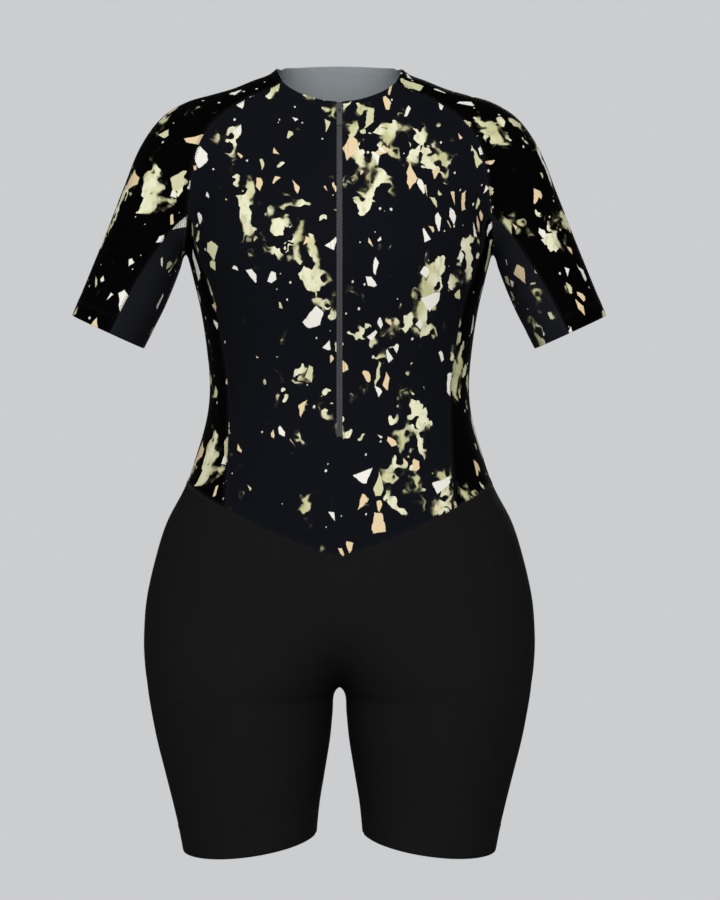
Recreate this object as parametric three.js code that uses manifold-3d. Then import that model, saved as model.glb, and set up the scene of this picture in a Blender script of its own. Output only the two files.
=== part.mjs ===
// A short-sleeved triathlon suit, zipped up and filled out as if it were worn.
// Millimetres, +Z up, the front faces -Y, and +X is to the right of a viewer in front.
// The origin is the middle of the neck opening, level with the tops of the shoulders.
// The cloth is a set of thin panels that lie on one smooth form and meet at named seams.
import * as THREE from "three";
import { mergeVertices } from "three/addons/utils/BufferGeometryUtils.js";
import Module from "manifold-3d";

const wasm = await Module();
wasm.setup();

// Driving sizes
const WALL = 1.5; // thickness of the cloth
const SEAM_GAP = 0.4; // between two panels at a seam
const ZIP_HALF = 3; // half the width of the closed coil, which fills the front slot
const ZIP_END = -381; // height where the coil stops
const TAPE_EDGE = 9.5; // from the middle to the sewn edge of the zip's tape
const TAPE_WALL = 1;
const TAPE_TAIL = 8; // how far the tape runs on behind the cloth below the coil
const COIL_PROUD = 0.6; // how far the coil stands out of the cloth

// The zip's slider: a plate on the coil with a low bridge that the pull tab hangs from.
// Heights along the zip are from the middle of the plate, and proud is from the plate's face.
const SLIDER = {
  belowNeck: 9,
  topWidth: 8,
  footWidth: 6.4,
  length: 10.5,
  shoulderHeight: 1.6, // where the plate starts to narrow
  cornerCut: 1.2,
  plate: 2.4,
  bridgeWidth: 2,
  bridgeTop: 3.4,
  bridgeFoot: -3.1,
  bridgeProud: 3,
  bridgeBar: 0.95,
  bridgeCorner: 1,
  bridgeRoot: 0.5, // how far the bridge's legs run into the plate
  pinHeight: -0.9,
  pinProud: 1.2,
  pinRadius: 0.6,
};

// The pull tab: a forked plate on a pin through the bridge. Heights are from the pin.
const PULL = {
  width: 4.9,
  footWidth: 5.4,
  top: 0.75,
  forkEnd: -5.4,
  foot: -19,
  cornerCut: 0.5,
  pinInset: 0.4, // from the tab's side to the pin's end
  thickness: 1,
  lean: 5, // degrees from the plate's face in towards the cloth, where it rests
};

// The trunk from the neck to the thighs, a row for each level section.
// half is half the width, front and back are the depths from the middle.
const TRUNK = [
  { z: 40, half: 60, front: 50, back: 60 },
  { z: 10, half: 61, front: 52, back: 61 },
  { z: -8, half: 63, front: 54, back: 64 },
  { z: -24, half: 74, front: 57, back: 69 },
  { z: -42, half: 95, front: 62, back: 77 },
  { z: -60, half: 114, front: 71, back: 86 },
  { z: -80, half: 129, front: 84, back: 95 },
  { z: -110, half: 142, front: 102, back: 104 },
  { z: -150, half: 152, front: 120, back: 110 },
  { z: -187, half: 158, front: 129, back: 110 },
  { z: -216, half: 152, front: 129, back: 106 },
  { z: -250, half: 144, front: 122, back: 99 },
  { z: -292, half: 137.5, front: 111, back: 91 },
  { z: -332, half: 134.5, front: 105, back: 88 },
  { z: -365, half: 138, front: 106, back: 92 },
  { z: -405, half: 149.5, front: 111, back: 104 },
  { z: -436, half: 160.5, front: 116, back: 117 },
  { z: -472, half: 179, front: 119, back: 131 },
  { z: -512, half: 191.5, front: 119, back: 141 },
  { z: -554, half: 200.5, front: 117, back: 145.5 },
  { z: -590, half: 203, front: 114.5, back: 144 },
  { z: -631, half: 201, front: 111, back: 138 },
  { z: -671, half: 195, front: 105, back: 127 },
];
const TRUNK_POWER = 2.25; // 2 is an ellipse, and more is squarer

// One leg, a row for each level section.
// Above the crotch inner is below zero, where the legs run together.
const LEG = [
  { z: -530, outer: 196, inner: -60, front: 117, back: 142 },
  { z: -590, outer: 203, inner: -30, front: 114.5, back: 143.5 },
  { z: -620, outer: 202, inner: -13, front: 112, back: 139.5 },
  { z: -640, outer: 199.5, inner: -1, front: 109.5, back: 135 },
  { z: -650, outer: 198.3, inner: 6, front: 108, back: 132.5 },
  { z: -670, outer: 195, inner: 7.7, front: 104.5, back: 127 },
  { z: -698, outer: 189.5, inner: 10.5, front: 99.5, back: 119 },
  { z: -732, outer: 181, inner: 16, front: 94, back: 110 },
  { z: -766, outer: 172.5, inner: 21.5, front: 89, back: 102.5 },
  { z: -797, outer: 165.5, inner: 24.5, front: 85, back: 96.5 },
  { z: -840, outer: 158, inner: 27, front: 82, back: 92 },
];
const LEG_POWER = 2.1;
const LEGS_START = -545; // the hips start to part into two legs here
const LEGS_APART = -641; // and have parted here

// The shoulder and sleeve, a row for each section across them, from the neck to past the cuff.
// A section runs from a point on the underside to a point on top, in the front view.
// depth is its half depth, and mid is how far back its middle lies.
const SLEEVE = [
  { topX: 50, topZ: -2, underX: 30, underZ: -118, depth: 52, mid: 4 },
  { topX: 84, topZ: -11.5, underX: 58, underZ: -135, depth: 56, mid: 5 },
  { topX: 111, topZ: -22, underX: 88, underZ: -155, depth: 59, mid: 6 },
  { topX: 134, topZ: -28.5, underX: 108, underZ: -170, depth: 59, mid: 6 },
  { topX: 158, topZ: -35.5, underX: 127, underZ: -182, depth: 57, mid: 6 },
  { topX: 183.5, topZ: -51, underX: 143, underZ: -190, depth: 55, mid: 6 },
  { topX: 205.5, topZ: -80.5, underX: 152, underZ: -190, depth: 53, mid: 5 },
  { topX: 225.5, topZ: -129, underX: 159, underZ: -187, depth: 50, mid: 4 },
  { topX: 241, topZ: -169, underX: 165, underZ: -207, depth: 48, mid: 3 },
  { topX: 258.5, topZ: -212, underX: 181.5, underZ: -248, depth: 46, mid: 2 },
  { topX: 277, topZ: -257.5, underX: 203.5, underZ: -291.5, depth: 44, mid: 0 },
  { topX: 285, topZ: -277, underX: 211, underZ: -310, depth: 44, mid: 0 },
];
const SLEEVE_POWER = 2.1;
const ELBOW_ROW = 7; // the last row before the sleeve leaves the trunk
const CUFF_ROW = 10;
const CUFF_SEAM_ANGLE = 98; // degrees from the sleeve's top line to each of its two seams

// How softly the sleeve runs into the trunk: sharp at the armpit, soft across the chest.
const SHOULDER_BLEND = [
  { z: 10, soft: 14 },
  { z: -40, soft: 22 },
  { z: -80, soft: 44 },
  { z: -130, soft: 40 },
  { z: -165, soft: 14 },
  { z: -190, soft: 10 },
  { z: -230, soft: 4 },
];

// How softly the two legs run into each other.
const CROTCH_BLEND = [
  { z: -545, soft: 60 },
  { z: -600, soft: 34 },
  { z: -635, soft: 10 },
  { z: -650, soft: 3 },
];

// Seam routes on the right half, in the front view, from the middle or from the neck outwards.
// Each lies on the front or the back of the form, at the depth found there.
const NECK_FRONT = [
  { x: 0, z: -42.5 },
  { x: 19, z: -40 },
  { x: 37, z: -34 },
  { x: 50, z: -27 },
  { x: 58, z: -20 },
];
const NECK_BACK = [
  { x: 0, z: 9 },
  { x: 24, z: 8 },
  { x: 44, z: 5.5 },
  { x: 56, z: 3 },
];
const ARMHOLE_FRONT = [
  { x: 58, z: -20 },
  { x: 79, z: -30 },
  { x: 101.5, z: -40.5 },
  { x: 125, z: -58 },
  { x: 141, z: -80 },
  { x: 149, z: -105 },
  { x: 152, z: -130 },
  { x: 155, z: -156 },
];
const ARMHOLE_BACK = [
  { x: 56, z: 3 },
  { x: 79, z: -20 },
  { x: 101.5, z: -34 },
  { x: 125, z: -54 },
  { x: 141, z: -78 },
  { x: 149, z: -104 },
  { x: 152, z: -130 },
  { x: 155, z: -156 },
];
const SIDE_SEAM = [
  { x: 155, z: -156 },
  { x: 146, z: -185 },
  { x: 137.5, z: -211 },
  { x: 125.5, z: -247 },
  { x: 118.5, z: -289 },
  { x: 113.5, z: -330 },
  { x: 112.5, z: -373 },
  { x: 113.5, z: -410 },
];
const SLEEVE_SEAM = [
  { x: 155, z: -156 },
  { x: 182, z: -185 },
  { x: 208.5, z: -226 },
];
const WAIST_FRONT = [
  { x: 0, z: -500.5 },
  { x: 17, z: -496 },
  { x: 48, z: -484 },
  { x: 71, z: -475 },
  { x: 90, z: -466.5 },
  { x: 115.5, z: -453.5 },
];
const WAIST_BACK = [
  { x: 0, z: -412 },
  { x: 60, z: -413 },
  { x: 115.5, z: -418 },
];

// Points where a seam crosses the silhouette, with y from the middle of the suit.
const NECK_SIDE = { x: 63.5, y: 0, z: -2 };
const NECK_SIDE_FRONT = { x: 62, y: -22, z: -10 };
const NECK_SIDE_BACK = { x: 61.5, y: 22, z: 1 };
const ARMPIT = { x: 160, y: 2, z: -187 };
const ARMPIT_FRONT = { x: 158, y: -27, z: -179 };
const ARMPIT_BACK = { x: 158, y: 30, z: -179 };
const WAIST_SIDE = { x: 157, y: 6, z: -428 };
const WAIST_SIDE_FRONT = { x: 138, y: -60, z: -441.5 };
const WAIST_SIDE_BACK = { x: 140, y: 66, z: -422 };
const CROTCH = { x: 0, y: 0, z: -641 };

// Heights of knots along the lines that run down the suit
const SIDE_KNOTS = [-216, -250, -292, -332, -365, -405];
const THIGH_KNOTS = [-455, -490, -530, -579, -631, -680, -730, -780];
const RISE_KNOTS = [-530, -560, -590, -612, -628, -637];
const SEAT_KNOTS = [-440, -480, -520, -560, -590, -612, -628, -637];
const INSEAM_LEVELS = [-643, -650, -664, -684, -707, -733, -763];

// The leg opening slopes up towards the inside of the leg, and dips a little at the front.
const HEM_OUTER_Z = -812.5;
const HEM_INNER_Z = -795;
const HEM_FRONT_DIP = 3;
const HEM_LEVEL = -805;

// Steps along each seam, shared by the panels on both sides of it
const ACROSS = 7; // from the zip's tape to the armhole or side seam
const ACROSS_BACK = 8; // from the middle of the back to the armhole or side seam
const SHOULDER = 6; // from a sleeve seam up to the shoulder line
const ARMHOLE = 10;
const SLEEVE_DOWN = 7;
const UNDERARM = 5; // from a seam to the middle of the underarm or side panel
const SIDE_TO_ZIP_END = 9;
const SIDE_BELOW_ZIP = 5;
const RISE = 9; // from the waist seam to the crotch
const ARMHOLE_END_Z = -150; // where the middle is level with the armhole's lower end

// Smooth value of one column of a table, by cubic curves between the rows.
function column(table, key, along = "z") {
  const rows = [...table].sort((a, b) => a[along] - b[along]);
  const last = rows.length - 1;
  const slopes = rows.map((_, i) => {
    const before = rows[Math.max(i - 1, 0)];
    const after = rows[Math.min(i + 1, last)];
    return (after[key] - before[key]) / (after[along] - before[along]);
  });
  return (at) => {
    if (at <= rows[0][along]) return rows[0][key];
    if (at >= rows[last][along]) return rows[last][key];
    let i = 0;
    while (at > rows[i + 1][along]) i += 1;
    const span = rows[i + 1][along] - rows[i][along];
    const t = (at - rows[i][along]) / span;
    const rise = t * t * (3 - 2 * t);
    const bend = t * (1 - t) * ((1 - t) * slopes[i] - t * slopes[i + 1]);
    return rows[i][key] * (1 - rise) + rows[i + 1][key] * rise + span * bend;
  };
}

const columnsOf = (table, keys) =>
  Object.fromEntries(keys.map((key) => [key, column(table, key)]));
const trunk = columnsOf(TRUNK, ["half", "front", "back"]);
const leg = columnsOf(LEG, ["outer", "inner", "front", "back"]);
const shoulderSoft = column(SHOULDER_BLEND, "soft");
const crotchSoft = column(CROTCH_BLEND, "soft");
const neckHeight = column(NECK_FRONT, "z", "x");
const waistHeight = column(WAIST_FRONT, "z", "x");

const smoothStep = (t) => {
  const c = THREE.MathUtils.clamp(t, 0, 1);
  return c * c * (3 - 2 * c);
};

// The lower of two distances, rounded off where they are within soft of each other.
function softMin(a, b, soft) {
  const h = Math.max(soft - Math.abs(a - b), 0) / soft;
  return Math.min(a, b) - (h * h * soft) / 4;
}

// Distance, along the ray from its middle, to a rounded section with these half sizes.
function sectionDistance(u, v, halfU, halfV, power) {
  const share = (Math.abs(u / halfU) ** power + Math.abs(v / halfV) ** power) ** (1 / power);
  if (share < 1e-6) return -Math.min(halfU, halfV);
  return Math.hypot(u, v) * (1 - 1 / share);
}

function trunkDistance(x, y, z) {
  const depth = y < 0 ? trunk.front(z) : trunk.back(z);
  return sectionDistance(x, y, trunk.half(z), depth, TRUNK_POWER);
}

function legDistance(x, y, z) {
  const middle = (leg.outer(z) + leg.inner(z)) / 2;
  const half = (leg.outer(z) - leg.inner(z)) / 2;
  const depth = y < 0 ? leg.front(z) : leg.back(z);
  return sectionDistance(x - middle, y, half, depth, LEG_POWER);
}

// The sections of the sleeve, set close together on smooth curves through the table's rows.
const SECTION_COUNT = 121;
const sleeveSections = (() => {
  const through = (a, b) =>
    new THREE.CatmullRomCurve3(SLEEVE.map((row) => new THREE.Vector3(row[a], 0, row[b])));
  const top = through("topX", "topZ");
  const under = through("underX", "underZ");
  const size = through("depth", "mid");
  return Array.from({ length: SECTION_COUNT }, (_, i) => {
    const t = i / (SECTION_COUNT - 1);
    const a = under.getPoint(t);
    const b = top.getPoint(t);
    const s = size.getPoint(t);
    const half = a.distanceTo(b) / 2;
    return {
      x: (a.x + b.x) / 2,
      z: (a.z + b.z) / 2,
      alongX: (b.x - a.x) / (2 * half),
      alongZ: (b.z - a.z) / (2 * half),
      half,
      depth: s.x,
      mid: s.z,
    };
  });
})();
const sectionOfRow = (row) =>
  sleeveSections[Math.round((row / (SLEEVE.length - 1)) * (SECTION_COUNT - 1))];

// How far a point of the front view lies from a section's line, above zero past it.
const shortOfSection = (s, x, z) => (z - s.z) * s.alongX - (x - s.x) * s.alongZ;

const mixSections = (a, b, t) =>
  Object.fromEntries(Object.keys(a).map((key) => [key, a[key] * (1 - t) + b[key] * t]));

function distanceInSection(s, x, y, z) {
  const along = (x - s.x) * s.alongX + (z - s.z) * s.alongZ;
  return sectionDistance(along, y - s.mid, s.half, s.depth, SLEEVE_POWER);
}

const FAR = 400; // where no section is near
function sleeveDistance(x, y, z) {
  const first = sleeveSections[0];
  let last = shortOfSection(first, x, z);
  let best = last > 0 ? distanceInSection(first, x, y, z) + last : FAR;
  for (let i = 1; i < SECTION_COUNT; i += 1) {
    const here = shortOfSection(sleeveSections[i], x, z);
    if (last <= 0 && here > 0) {
      const t = last / (last - here);
      const between = mixSections(sleeveSections[i - 1], sleeveSections[i], t);
      best = Math.min(best, distanceInSection(between, x, y, z));
    }
    last = here;
  }
  return best;
}

// The whole form: below zero inside and above zero outside, and about the distance.
const SLEEVE_LOWEST = -330;
const NECK_HIGHEST = 60;
function formDistance(x, y, z) {
  const parted = smoothStep((z - LEGS_START) / (LEGS_APART - LEGS_START));
  const body = parted < 1 ? trunkDistance(x, y, z) : 0;
  const legs =
    parted > 0 ? softMin(legDistance(x, y, z), legDistance(-x, y, z), crotchSoft(z)) : 0;
  const low = body * (1 - parted) + legs * parted;
  if (z < SLEEVE_LOWEST || z > NECK_HIGHEST) return low;
  return softMin(low, sleeveDistance(Math.abs(x), y, z), shoulderSoft(z));
}

const PROBE = 0.4;
function gradient(p) {
  const along = (dx, dy, dz) =>
    (formDistance(p.x + dx, p.y + dy, p.z + dz) - formDistance(p.x - dx, p.y - dy, p.z - dz)) /
    (2 * PROBE);
  return new THREE.Vector3(along(PROBE, 0, 0), along(0, PROBE, 0), along(0, 0, PROBE));
}
const outward = (p) => gradient(p).normalize();

// Moves a point straight to the form's surface.
const LONGEST_MOVE = 12;
const CLOSE_ENOUGH = 0.002;
const LEAST_SLOPE = 0.05; // so that a flat spot between the legs gives no endless move
const MOST_TRIES = 40;
function toSurface(start) {
  const p = start.clone();
  for (let i = 0; i < MOST_TRIES; i += 1) {
    const d = formDistance(p.x, p.y, p.z);
    if (Math.abs(d) < CLOSE_ENOUGH) break;
    const slope = gradient(p);
    const move = slope.multiplyScalar(-d / Math.max(slope.lengthSq(), LEAST_SLOPE));
    p.add(move.clampLength(0, LONGEST_MOVE));
  }
  return p;
}

const FRONT = -1;
const BACK = 1;
const DEEPEST = 220;

// The point of the form's front or back that is seen at a point of the front view.
function faceAt({ x, z }, side) {
  if (formDistance(x, 0, z) > 0) return toSurface(new THREE.Vector3(x, 0, z));
  let inside = 0;
  let outside = DEEPEST * side;
  for (let i = 0; i < MOST_TRIES; i += 1) {
    const y = (inside + outside) / 2;
    if (formDistance(x, y, z) < 0) inside = y;
    else outside = y;
  }
  return new THREE.Vector3(x, inside, z);
}

const vector = ({ x, y, z }) => new THREE.Vector3(x, y, z);
const surfacePoint = (place) => toSurface(vector(place));

// Evenly spaced points of the surface along a smooth curve through the given ones.
const CURVE_DIVISIONS = 400;
function route(points, steps) {
  const curve = new THREE.CatmullRomCurve3(points, false, "centripetal");
  curve.arcLengthDivisions = CURVE_DIVISIONS;
  return curve.getSpacedPoints(steps).map(toSurface);
}
const routeOn = (rows, side, steps, ...ends) =>
  route([...rows.map((row) => faceAt(row, side)), ...ends], steps);

const evenly = (from, to, steps) =>
  Array.from({ length: steps + 1 }, (_, i) => from + ((to - from) * i) / steps);
const joined = (...lines) => lines.flatMap((line, i) => (i ? line.slice(1) : line));
const backwards = (line) => [...line].reverse();

// Points round the cuff, with 0 degrees at the sleeve's top line and 90 at its front.
function cuffArc(fromAngle, toAngle, steps) {
  const s = sectionOfRow(CUFF_ROW);
  return evenly(fromAngle, toAngle, steps).map((angle) => {
    const a = THREE.MathUtils.degToRad(angle);
    const along = s.half * Math.cos(a);
    const y = s.mid - s.depth * Math.sin(a);
    return surfacePoint({ x: s.x + s.alongX * along, y, z: s.z + s.alongZ * along });
  });
}

// Points round a leg opening, with 0 degrees at the outside of the leg and 90 at its front.
function hemArc(fromAngle, toAngle, steps) {
  const outer = leg.outer(HEM_LEVEL);
  const inner = leg.inner(HEM_LEVEL);
  return evenly(fromAngle, toAngle, steps).map((angle) => {
    const a = THREE.MathUtils.degToRad(angle);
    const share = (1 + Math.cos(a)) / 2;
    const front = Math.max(0, Math.sin(a));
    const depth = front > 0 ? leg.front(HEM_LEVEL) : leg.back(HEM_LEVEL);
    const level = HEM_INNER_Z + (HEM_OUTER_Z - HEM_INNER_Z) * share - HEM_FRONT_DIP * front ** 2;
    const x = inner + (outer - inner) * share;
    return surfacePoint({ x, y: -depth * Math.sin(a), z: level }).setZ(level);
  });
}

// A line down the front at one distance from the middle, from the neck to the waist seam.
const ZIP_ROWS = ARMHOLE + SIDE_TO_ZIP_END;
function frontLine(x) {
  const heights = joined(
    evenly(neckHeight(x), ARMHOLE_END_Z, ARMHOLE),
    evenly(ARMHOLE_END_Z, ZIP_END, SIDE_TO_ZIP_END),
    evenly(ZIP_END, waistHeight(x), SIDE_BELOW_ZIP),
  );
  return heights.map((z) => faceAt({ x, z }, FRONT));
}

// A line down the middle of the suit, at the front or the back.
const middleLine = (heights, side) => heights.map((z) => faceAt({ x: 0, z }, side).setX(0));
const middleRoute = (points, steps) => route(points, steps).map((p) => p.setX(0));

// Neck, armhole and sleeve seams of the right half
const neckXs = evenly(TAPE_EDGE, NECK_FRONT.at(-1).x, ACROSS);
const neckFront = neckXs.map((x) => faceAt({ x, z: neckHeight(x) }, FRONT));
const neckBack = routeOn(NECK_BACK, BACK, ACROSS_BACK);
neckBack[0].setX(0);
const neckSideFront = route(
  [neckFront.at(-1), vector(NECK_SIDE_FRONT), vector(NECK_SIDE)],
  SHOULDER,
);
const neckSideBack = route(
  [neckBack.at(-1), vector(NECK_SIDE_BACK), vector(NECK_SIDE)],
  SHOULDER,
);
const armholeFront = routeOn(ARMHOLE_FRONT, FRONT, ARMHOLE);
const armholeBack = routeOn(ARMHOLE_BACK, BACK, ARMHOLE);
const armpitFront = route(
  [armholeFront.at(-1), vector(ARMPIT_FRONT), vector(ARMPIT)],
  UNDERARM,
);
const armpitBack = route([armholeBack.at(-1), vector(ARMPIT_BACK), vector(ARMPIT)], UNDERARM);
const cuffTopFront = cuffArc(CUFF_SEAM_ANGLE, 0, SHOULDER);
const cuffTopBack = cuffArc(-CUFF_SEAM_ANGLE, 0, SHOULDER);
const cuffUnderFront = cuffArc(CUFF_SEAM_ANGLE, 180, UNDERARM);
const cuffUnderBack = cuffArc(-CUFF_SEAM_ANGLE, -180, UNDERARM);
const sleeveSeamFront = routeOn(SLEEVE_SEAM, FRONT, SLEEVE_DOWN, cuffTopFront[0]);
const sleeveSeamBack = routeOn(SLEEVE_SEAM, BACK, SLEEVE_DOWN, cuffTopBack[0]);

// Lines along the top and underside of the sleeve, where its front half meets its back half
const sleeveTop = (row) => vector({ x: row.topX, y: row.mid, z: row.topZ });
const sleeveUnder = (row) => vector({ x: row.underX, y: row.mid, z: row.underZ });
const shoulderRows = SLEEVE.slice(2, ELBOW_ROW + 1);
const sleeveRows = SLEEVE.slice(ELBOW_ROW + 1, CUFF_ROW);
const shoulderLine = route([vector(NECK_SIDE), ...shoulderRows.map(sleeveTop)], ARMHOLE);
const sleeveTopLine = route(
  [shoulderLine.at(-1), ...sleeveRows.map(sleeveTop), cuffTopFront.at(-1)],
  SLEEVE_DOWN,
);
const sleeveUnderLine = route(
  [vector(ARMPIT), ...sleeveRows.map(sleeveUnder), cuffUnderFront.at(-1)],
  SLEEVE_DOWN,
);

// Side and waist seams of the right half
const sideRows = SIDE_TO_ZIP_END + SIDE_BELOW_ZIP;
const waistXs = evenly(TAPE_EDGE, WAIST_FRONT.at(-1).x, ACROSS);
const waistFront = waistXs.map((x) => faceAt({ x, z: waistHeight(x) }, FRONT));
const waistBack = routeOn(WAIST_BACK, BACK, ACROSS_BACK);
waistBack[0].setX(0);
const sideSeamFront = routeOn(SIDE_SEAM, FRONT, sideRows, waistFront.at(-1));
const sideSeamBack = routeOn(SIDE_SEAM, BACK, sideRows, waistBack.at(-1));
const sideLine = route(
  [
    vector(ARMPIT),
    ...SIDE_KNOTS.map((z) => vector({ x: trunk.half(z), y: ARMPIT.y, z })),
    vector(WAIST_SIDE),
  ],
  sideRows,
);
const waistSideFront = route(
  [waistFront.at(-1), vector(WAIST_SIDE_FRONT), vector(WAIST_SIDE)],
  UNDERARM,
);
const waistSideBack = route(
  [waistBack.at(-1), vector(WAIST_SIDE_BACK), vector(WAIST_SIDE)],
  UNDERARM,
);

// Lines down the middle of the front, the back and the shorts
const middleFront = frontLine(0).map((p) => p.setX(0));
const slotEdge = frontLine(ZIP_HALF);
const tapeLine = frontLine(TAPE_EDGE);
const middleBack = middleLine(
  joined(
    evenly(NECK_BACK[0].z, ARMHOLE_END_Z, ARMHOLE),
    evenly(ARMHOLE_END_Z, WAIST_BACK[0].z, sideRows),
  ),
  BACK,
);
middleBack[0] = neckBack[0];
middleBack[middleBack.length - 1] = waistBack[0];
const riseFront = middleRoute(
  [middleFront.at(-1), ...middleLine(RISE_KNOTS, FRONT), vector(CROTCH)],
  RISE,
);
const riseBack = middleRoute(
  [waistBack[0], ...middleLine(SEAT_KNOTS, BACK), vector(CROTCH)],
  RISE,
);

// Hems, inseam and outer side of the right leg
const waistFrontAcross = [middleFront.at(-1), slotEdge.at(-1), ...waistFront];
const frontColumns = waistFrontAcross.length - 1 + UNDERARM;
const backColumns = ACROSS_BACK + UNDERARM;
const hemFront = hemArc(180, 0, frontColumns);
const hemBack = hemArc(-180, 0, backColumns);
const inseam = [
  riseFront.at(-1),
  ...INSEAM_LEVELS.map((z) => surfacePoint({ x: leg.inner(z), y: 0, z })),
  hemFront[0],
];
const thighRows = RISE + inseam.length - 1;
const thighLine = route(
  [
    vector(WAIST_SIDE),
    ...THIGH_KNOTS.map((z) => vector({ x: trunk.half(z), y: 0, z })),
    hemFront.at(-1),
  ],
  thighRows,
);

// A grid of surface points between four lines: top and bottom across, left and right down.
// The points inside are first mixed from the lines, and then evened out along the surface.
const EVENING_ROUNDS = 8;
const EVENING_SHARE = 0.5;
function patch(top, bottom, left, right) {
  const rows = left.length - 1;
  const cols = top.length - 1;
  const mix = (a, b, t) => a.clone().lerp(b, t);
  const grid = left.map((_, r) =>
    top.map((_, c) => {
      const u = c / cols;
      const v = r / rows;
      const downwards = mix(top[c], bottom[c], v);
      const across = mix(left[r], right[r], u);
      const corners = mix(mix(top[0], top[cols], u), mix(bottom[0], bottom[cols], u), v);
      return downwards.add(across).sub(corners);
    }),
  );
  for (let r = 0; r <= rows; r += 1) {
    grid[r][0] = left[r];
    grid[r][cols] = right[r];
  }
  grid[0] = [...top];
  grid[rows] = [...bottom];
  for (let round = 0; round < EVENING_ROUNDS; round += 1) {
    for (let r = 1; r < rows; r += 1) {
      for (let c = 1; c < cols; c += 1) {
        const around = grid[r - 1][c].clone().add(grid[r + 1][c]);
        around.add(grid[r][c - 1]).add(grid[r][c + 1]).divideScalar(4);
        grid[r][c] = toSurface(mix(grid[r][c], around, EVENING_SHARE));
      }
    }
  }
  return grid;
}

// A grid whose columns are given lines.
const columnsGrid = (lines) => lines[0].map((_, r) => lines.map((line) => line[r]));
const mirrored = (grid) => grid.map((row) => row.map((p) => new THREE.Vector3(-p.x, p.y, p.z)));
const bothHalves = (grids) => [...grids, ...grids.map(mirrored)];

// The corners of a grid's faces, turned so that they face outwards.
function facesOf(grid) {
  const r0 = Math.floor((grid.length - 1) / 2);
  const c0 = Math.floor((grid[0].length - 1) / 2);
  const origin = grid[r0][c0];
  const down = grid[r0 + 1][c0].clone().sub(origin);
  const across = grid[r0][c0 + 1].clone().sub(origin);
  const turned = down.cross(across).dot(outward(origin)) < 0;
  const faces = [];
  for (let r = 0; r + 1 < grid.length; r += 1) {
    for (let c = 0; c + 1 < grid[r].length; c += 1) {
      const face = [grid[r][c], grid[r + 1][c], grid[r + 1][c + 1], grid[r][c + 1]];
      faces.push(turned ? face.reverse() : face);
    }
  }
  return faces;
}

// Joins grids that share edges into triangles between numbered points.
const SAME_PLACE = 1000; // points are the same where they agree to a thousandth
function weld(grids) {
  const numbers = new Map();
  const points = [];
  const numberOf = (p) => {
    const key = [p.x, p.y, p.z].map((v) => Math.round(v * SAME_PLACE) + 0).join();
    if (!numbers.has(key)) {
      numbers.set(key, points.length);
      points.push(p.clone());
    }
    return numbers.get(key);
  };
  const triangles = grids.flatMap(facesOf).flatMap((face) => {
    const [a, b, c, d] = face.map(numberOf);
    const acShorter = points[a].distanceTo(points[c]) <= points[b].distanceTo(points[d]);
    return acShorter ? [[a, b, c], [a, c, d]] : [[a, b, d], [b, c, d]];
  });
  return { points, triangles };
}

// The edges that only one triangle has, each from one point number to the next.
function rimOf(triangles) {
  const edges = new Set(triangles.flatMap(([a, b, c]) => [`${a} ${b}`, `${b} ${c}`, `${c} ${a}`]));
  return [...edges]
    .map((edge) => edge.split(" ").map(Number))
    .filter(([a, b]) => !edges.has(`${b} ${a}`));
}

function geometryOf(points, triangles) {
  const geometry = new THREE.BufferGeometry();
  const position = points.flatMap((p) => [p.x, p.y, p.z]);
  geometry.setAttribute("position", new THREE.Float32BufferAttribute(position, 3));
  geometry.setIndex(triangles.flat());
  geometry.computeVertexNormals();
  return geometry;
}

// A wall of cloth on the grids, drawn back from its rim by half a seam's gap.
const SHARPEST_CORNER = 0.15; // so that a narrow corner is not drawn back too far
function clothWall(grids) {
  const { points, triangles } = weld(grids);
  const rim = rimOf(triangles);
  const normals = points.map(outward);
  const inwards = points.map(() => []);
  for (const [a, b] of rim) {
    const along = points[b].clone().sub(points[a]);
    for (const i of [a, b]) {
      inwards[i].push(normals[i].clone().cross(along).normalize());
    }
  }
  const outer = points.map((p, i) => {
    if (!inwards[i].length) return p;
    const [first, second] = inwards[i];
    const corner = Math.max(1 + first.dot(second), SHARPEST_CORNER);
    return p.clone().addScaledVector(first.clone().add(second), SEAM_GAP / 2 / corner);
  });
  const inner = outer.map((p, i) => p.clone().addScaledVector(normals[i], -WALL));
  const count = points.length;
  const walls = rim.flatMap(([a, b]) => [
    [b, a, a + count],
    [b, a + count, b + count],
  ]);
  const inside = triangles.map(([a, b, c]) => [c + count, b + count, a + count]);
  return geometryOf([...outer, ...inner], [...triangles, ...inside, ...walls]);
}

// A closed bar through rings of points, one ring for each step along it.
function bar(rings) {
  const sides = rings[0].length;
  const triangles = [];
  for (let i = 0; i + 1 < rings.length; i += 1) {
    for (let k = 0; k < sides; k += 1) {
      const a = i * sides + k;
      const b = i * sides + ((k + 1) % sides);
      triangles.push([a, b, b + sides], [a, b + sides, a + sides]);
    }
  }
  const last = (rings.length - 1) * sides;
  for (let k = 1; k + 1 < sides; k += 1) {
    triangles.push([0, k + 1, k], [last, last + k, last + k + 1]);
  }
  return geometryOf(rings.flat(), triangles);
}

// Joins of closed meshes
const SAME_CORNER = 1e-4;
function solidOf(geometry) {
  const bare = geometry.clone();
  bare.deleteAttribute("normal");
  bare.deleteAttribute("uv");
  const merged = mergeVertices(bare, SAME_CORNER);
  const mesh = new wasm.Mesh({
    numProp: 3,
    vertProperties: new Float32Array(merged.attributes.position.array),
    triVerts: new Uint32Array(merged.index.array),
  });
  return new wasm.Manifold(mesh);
}
function geometryOfSolid(solid) {
  const { vertProperties, triVerts } = solid.getMesh();
  const geometry = new THREE.BufferGeometry();
  geometry.setAttribute("position", new THREE.BufferAttribute(vertProperties, 3));
  geometry.setIndex(new THREE.BufferAttribute(triVerts, 1));
  return geometry;
}
const fused = (...geometries) =>
  geometryOfSolid(geometries.map(solidOf).reduce((all, next) => all.add(next)));

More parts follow.
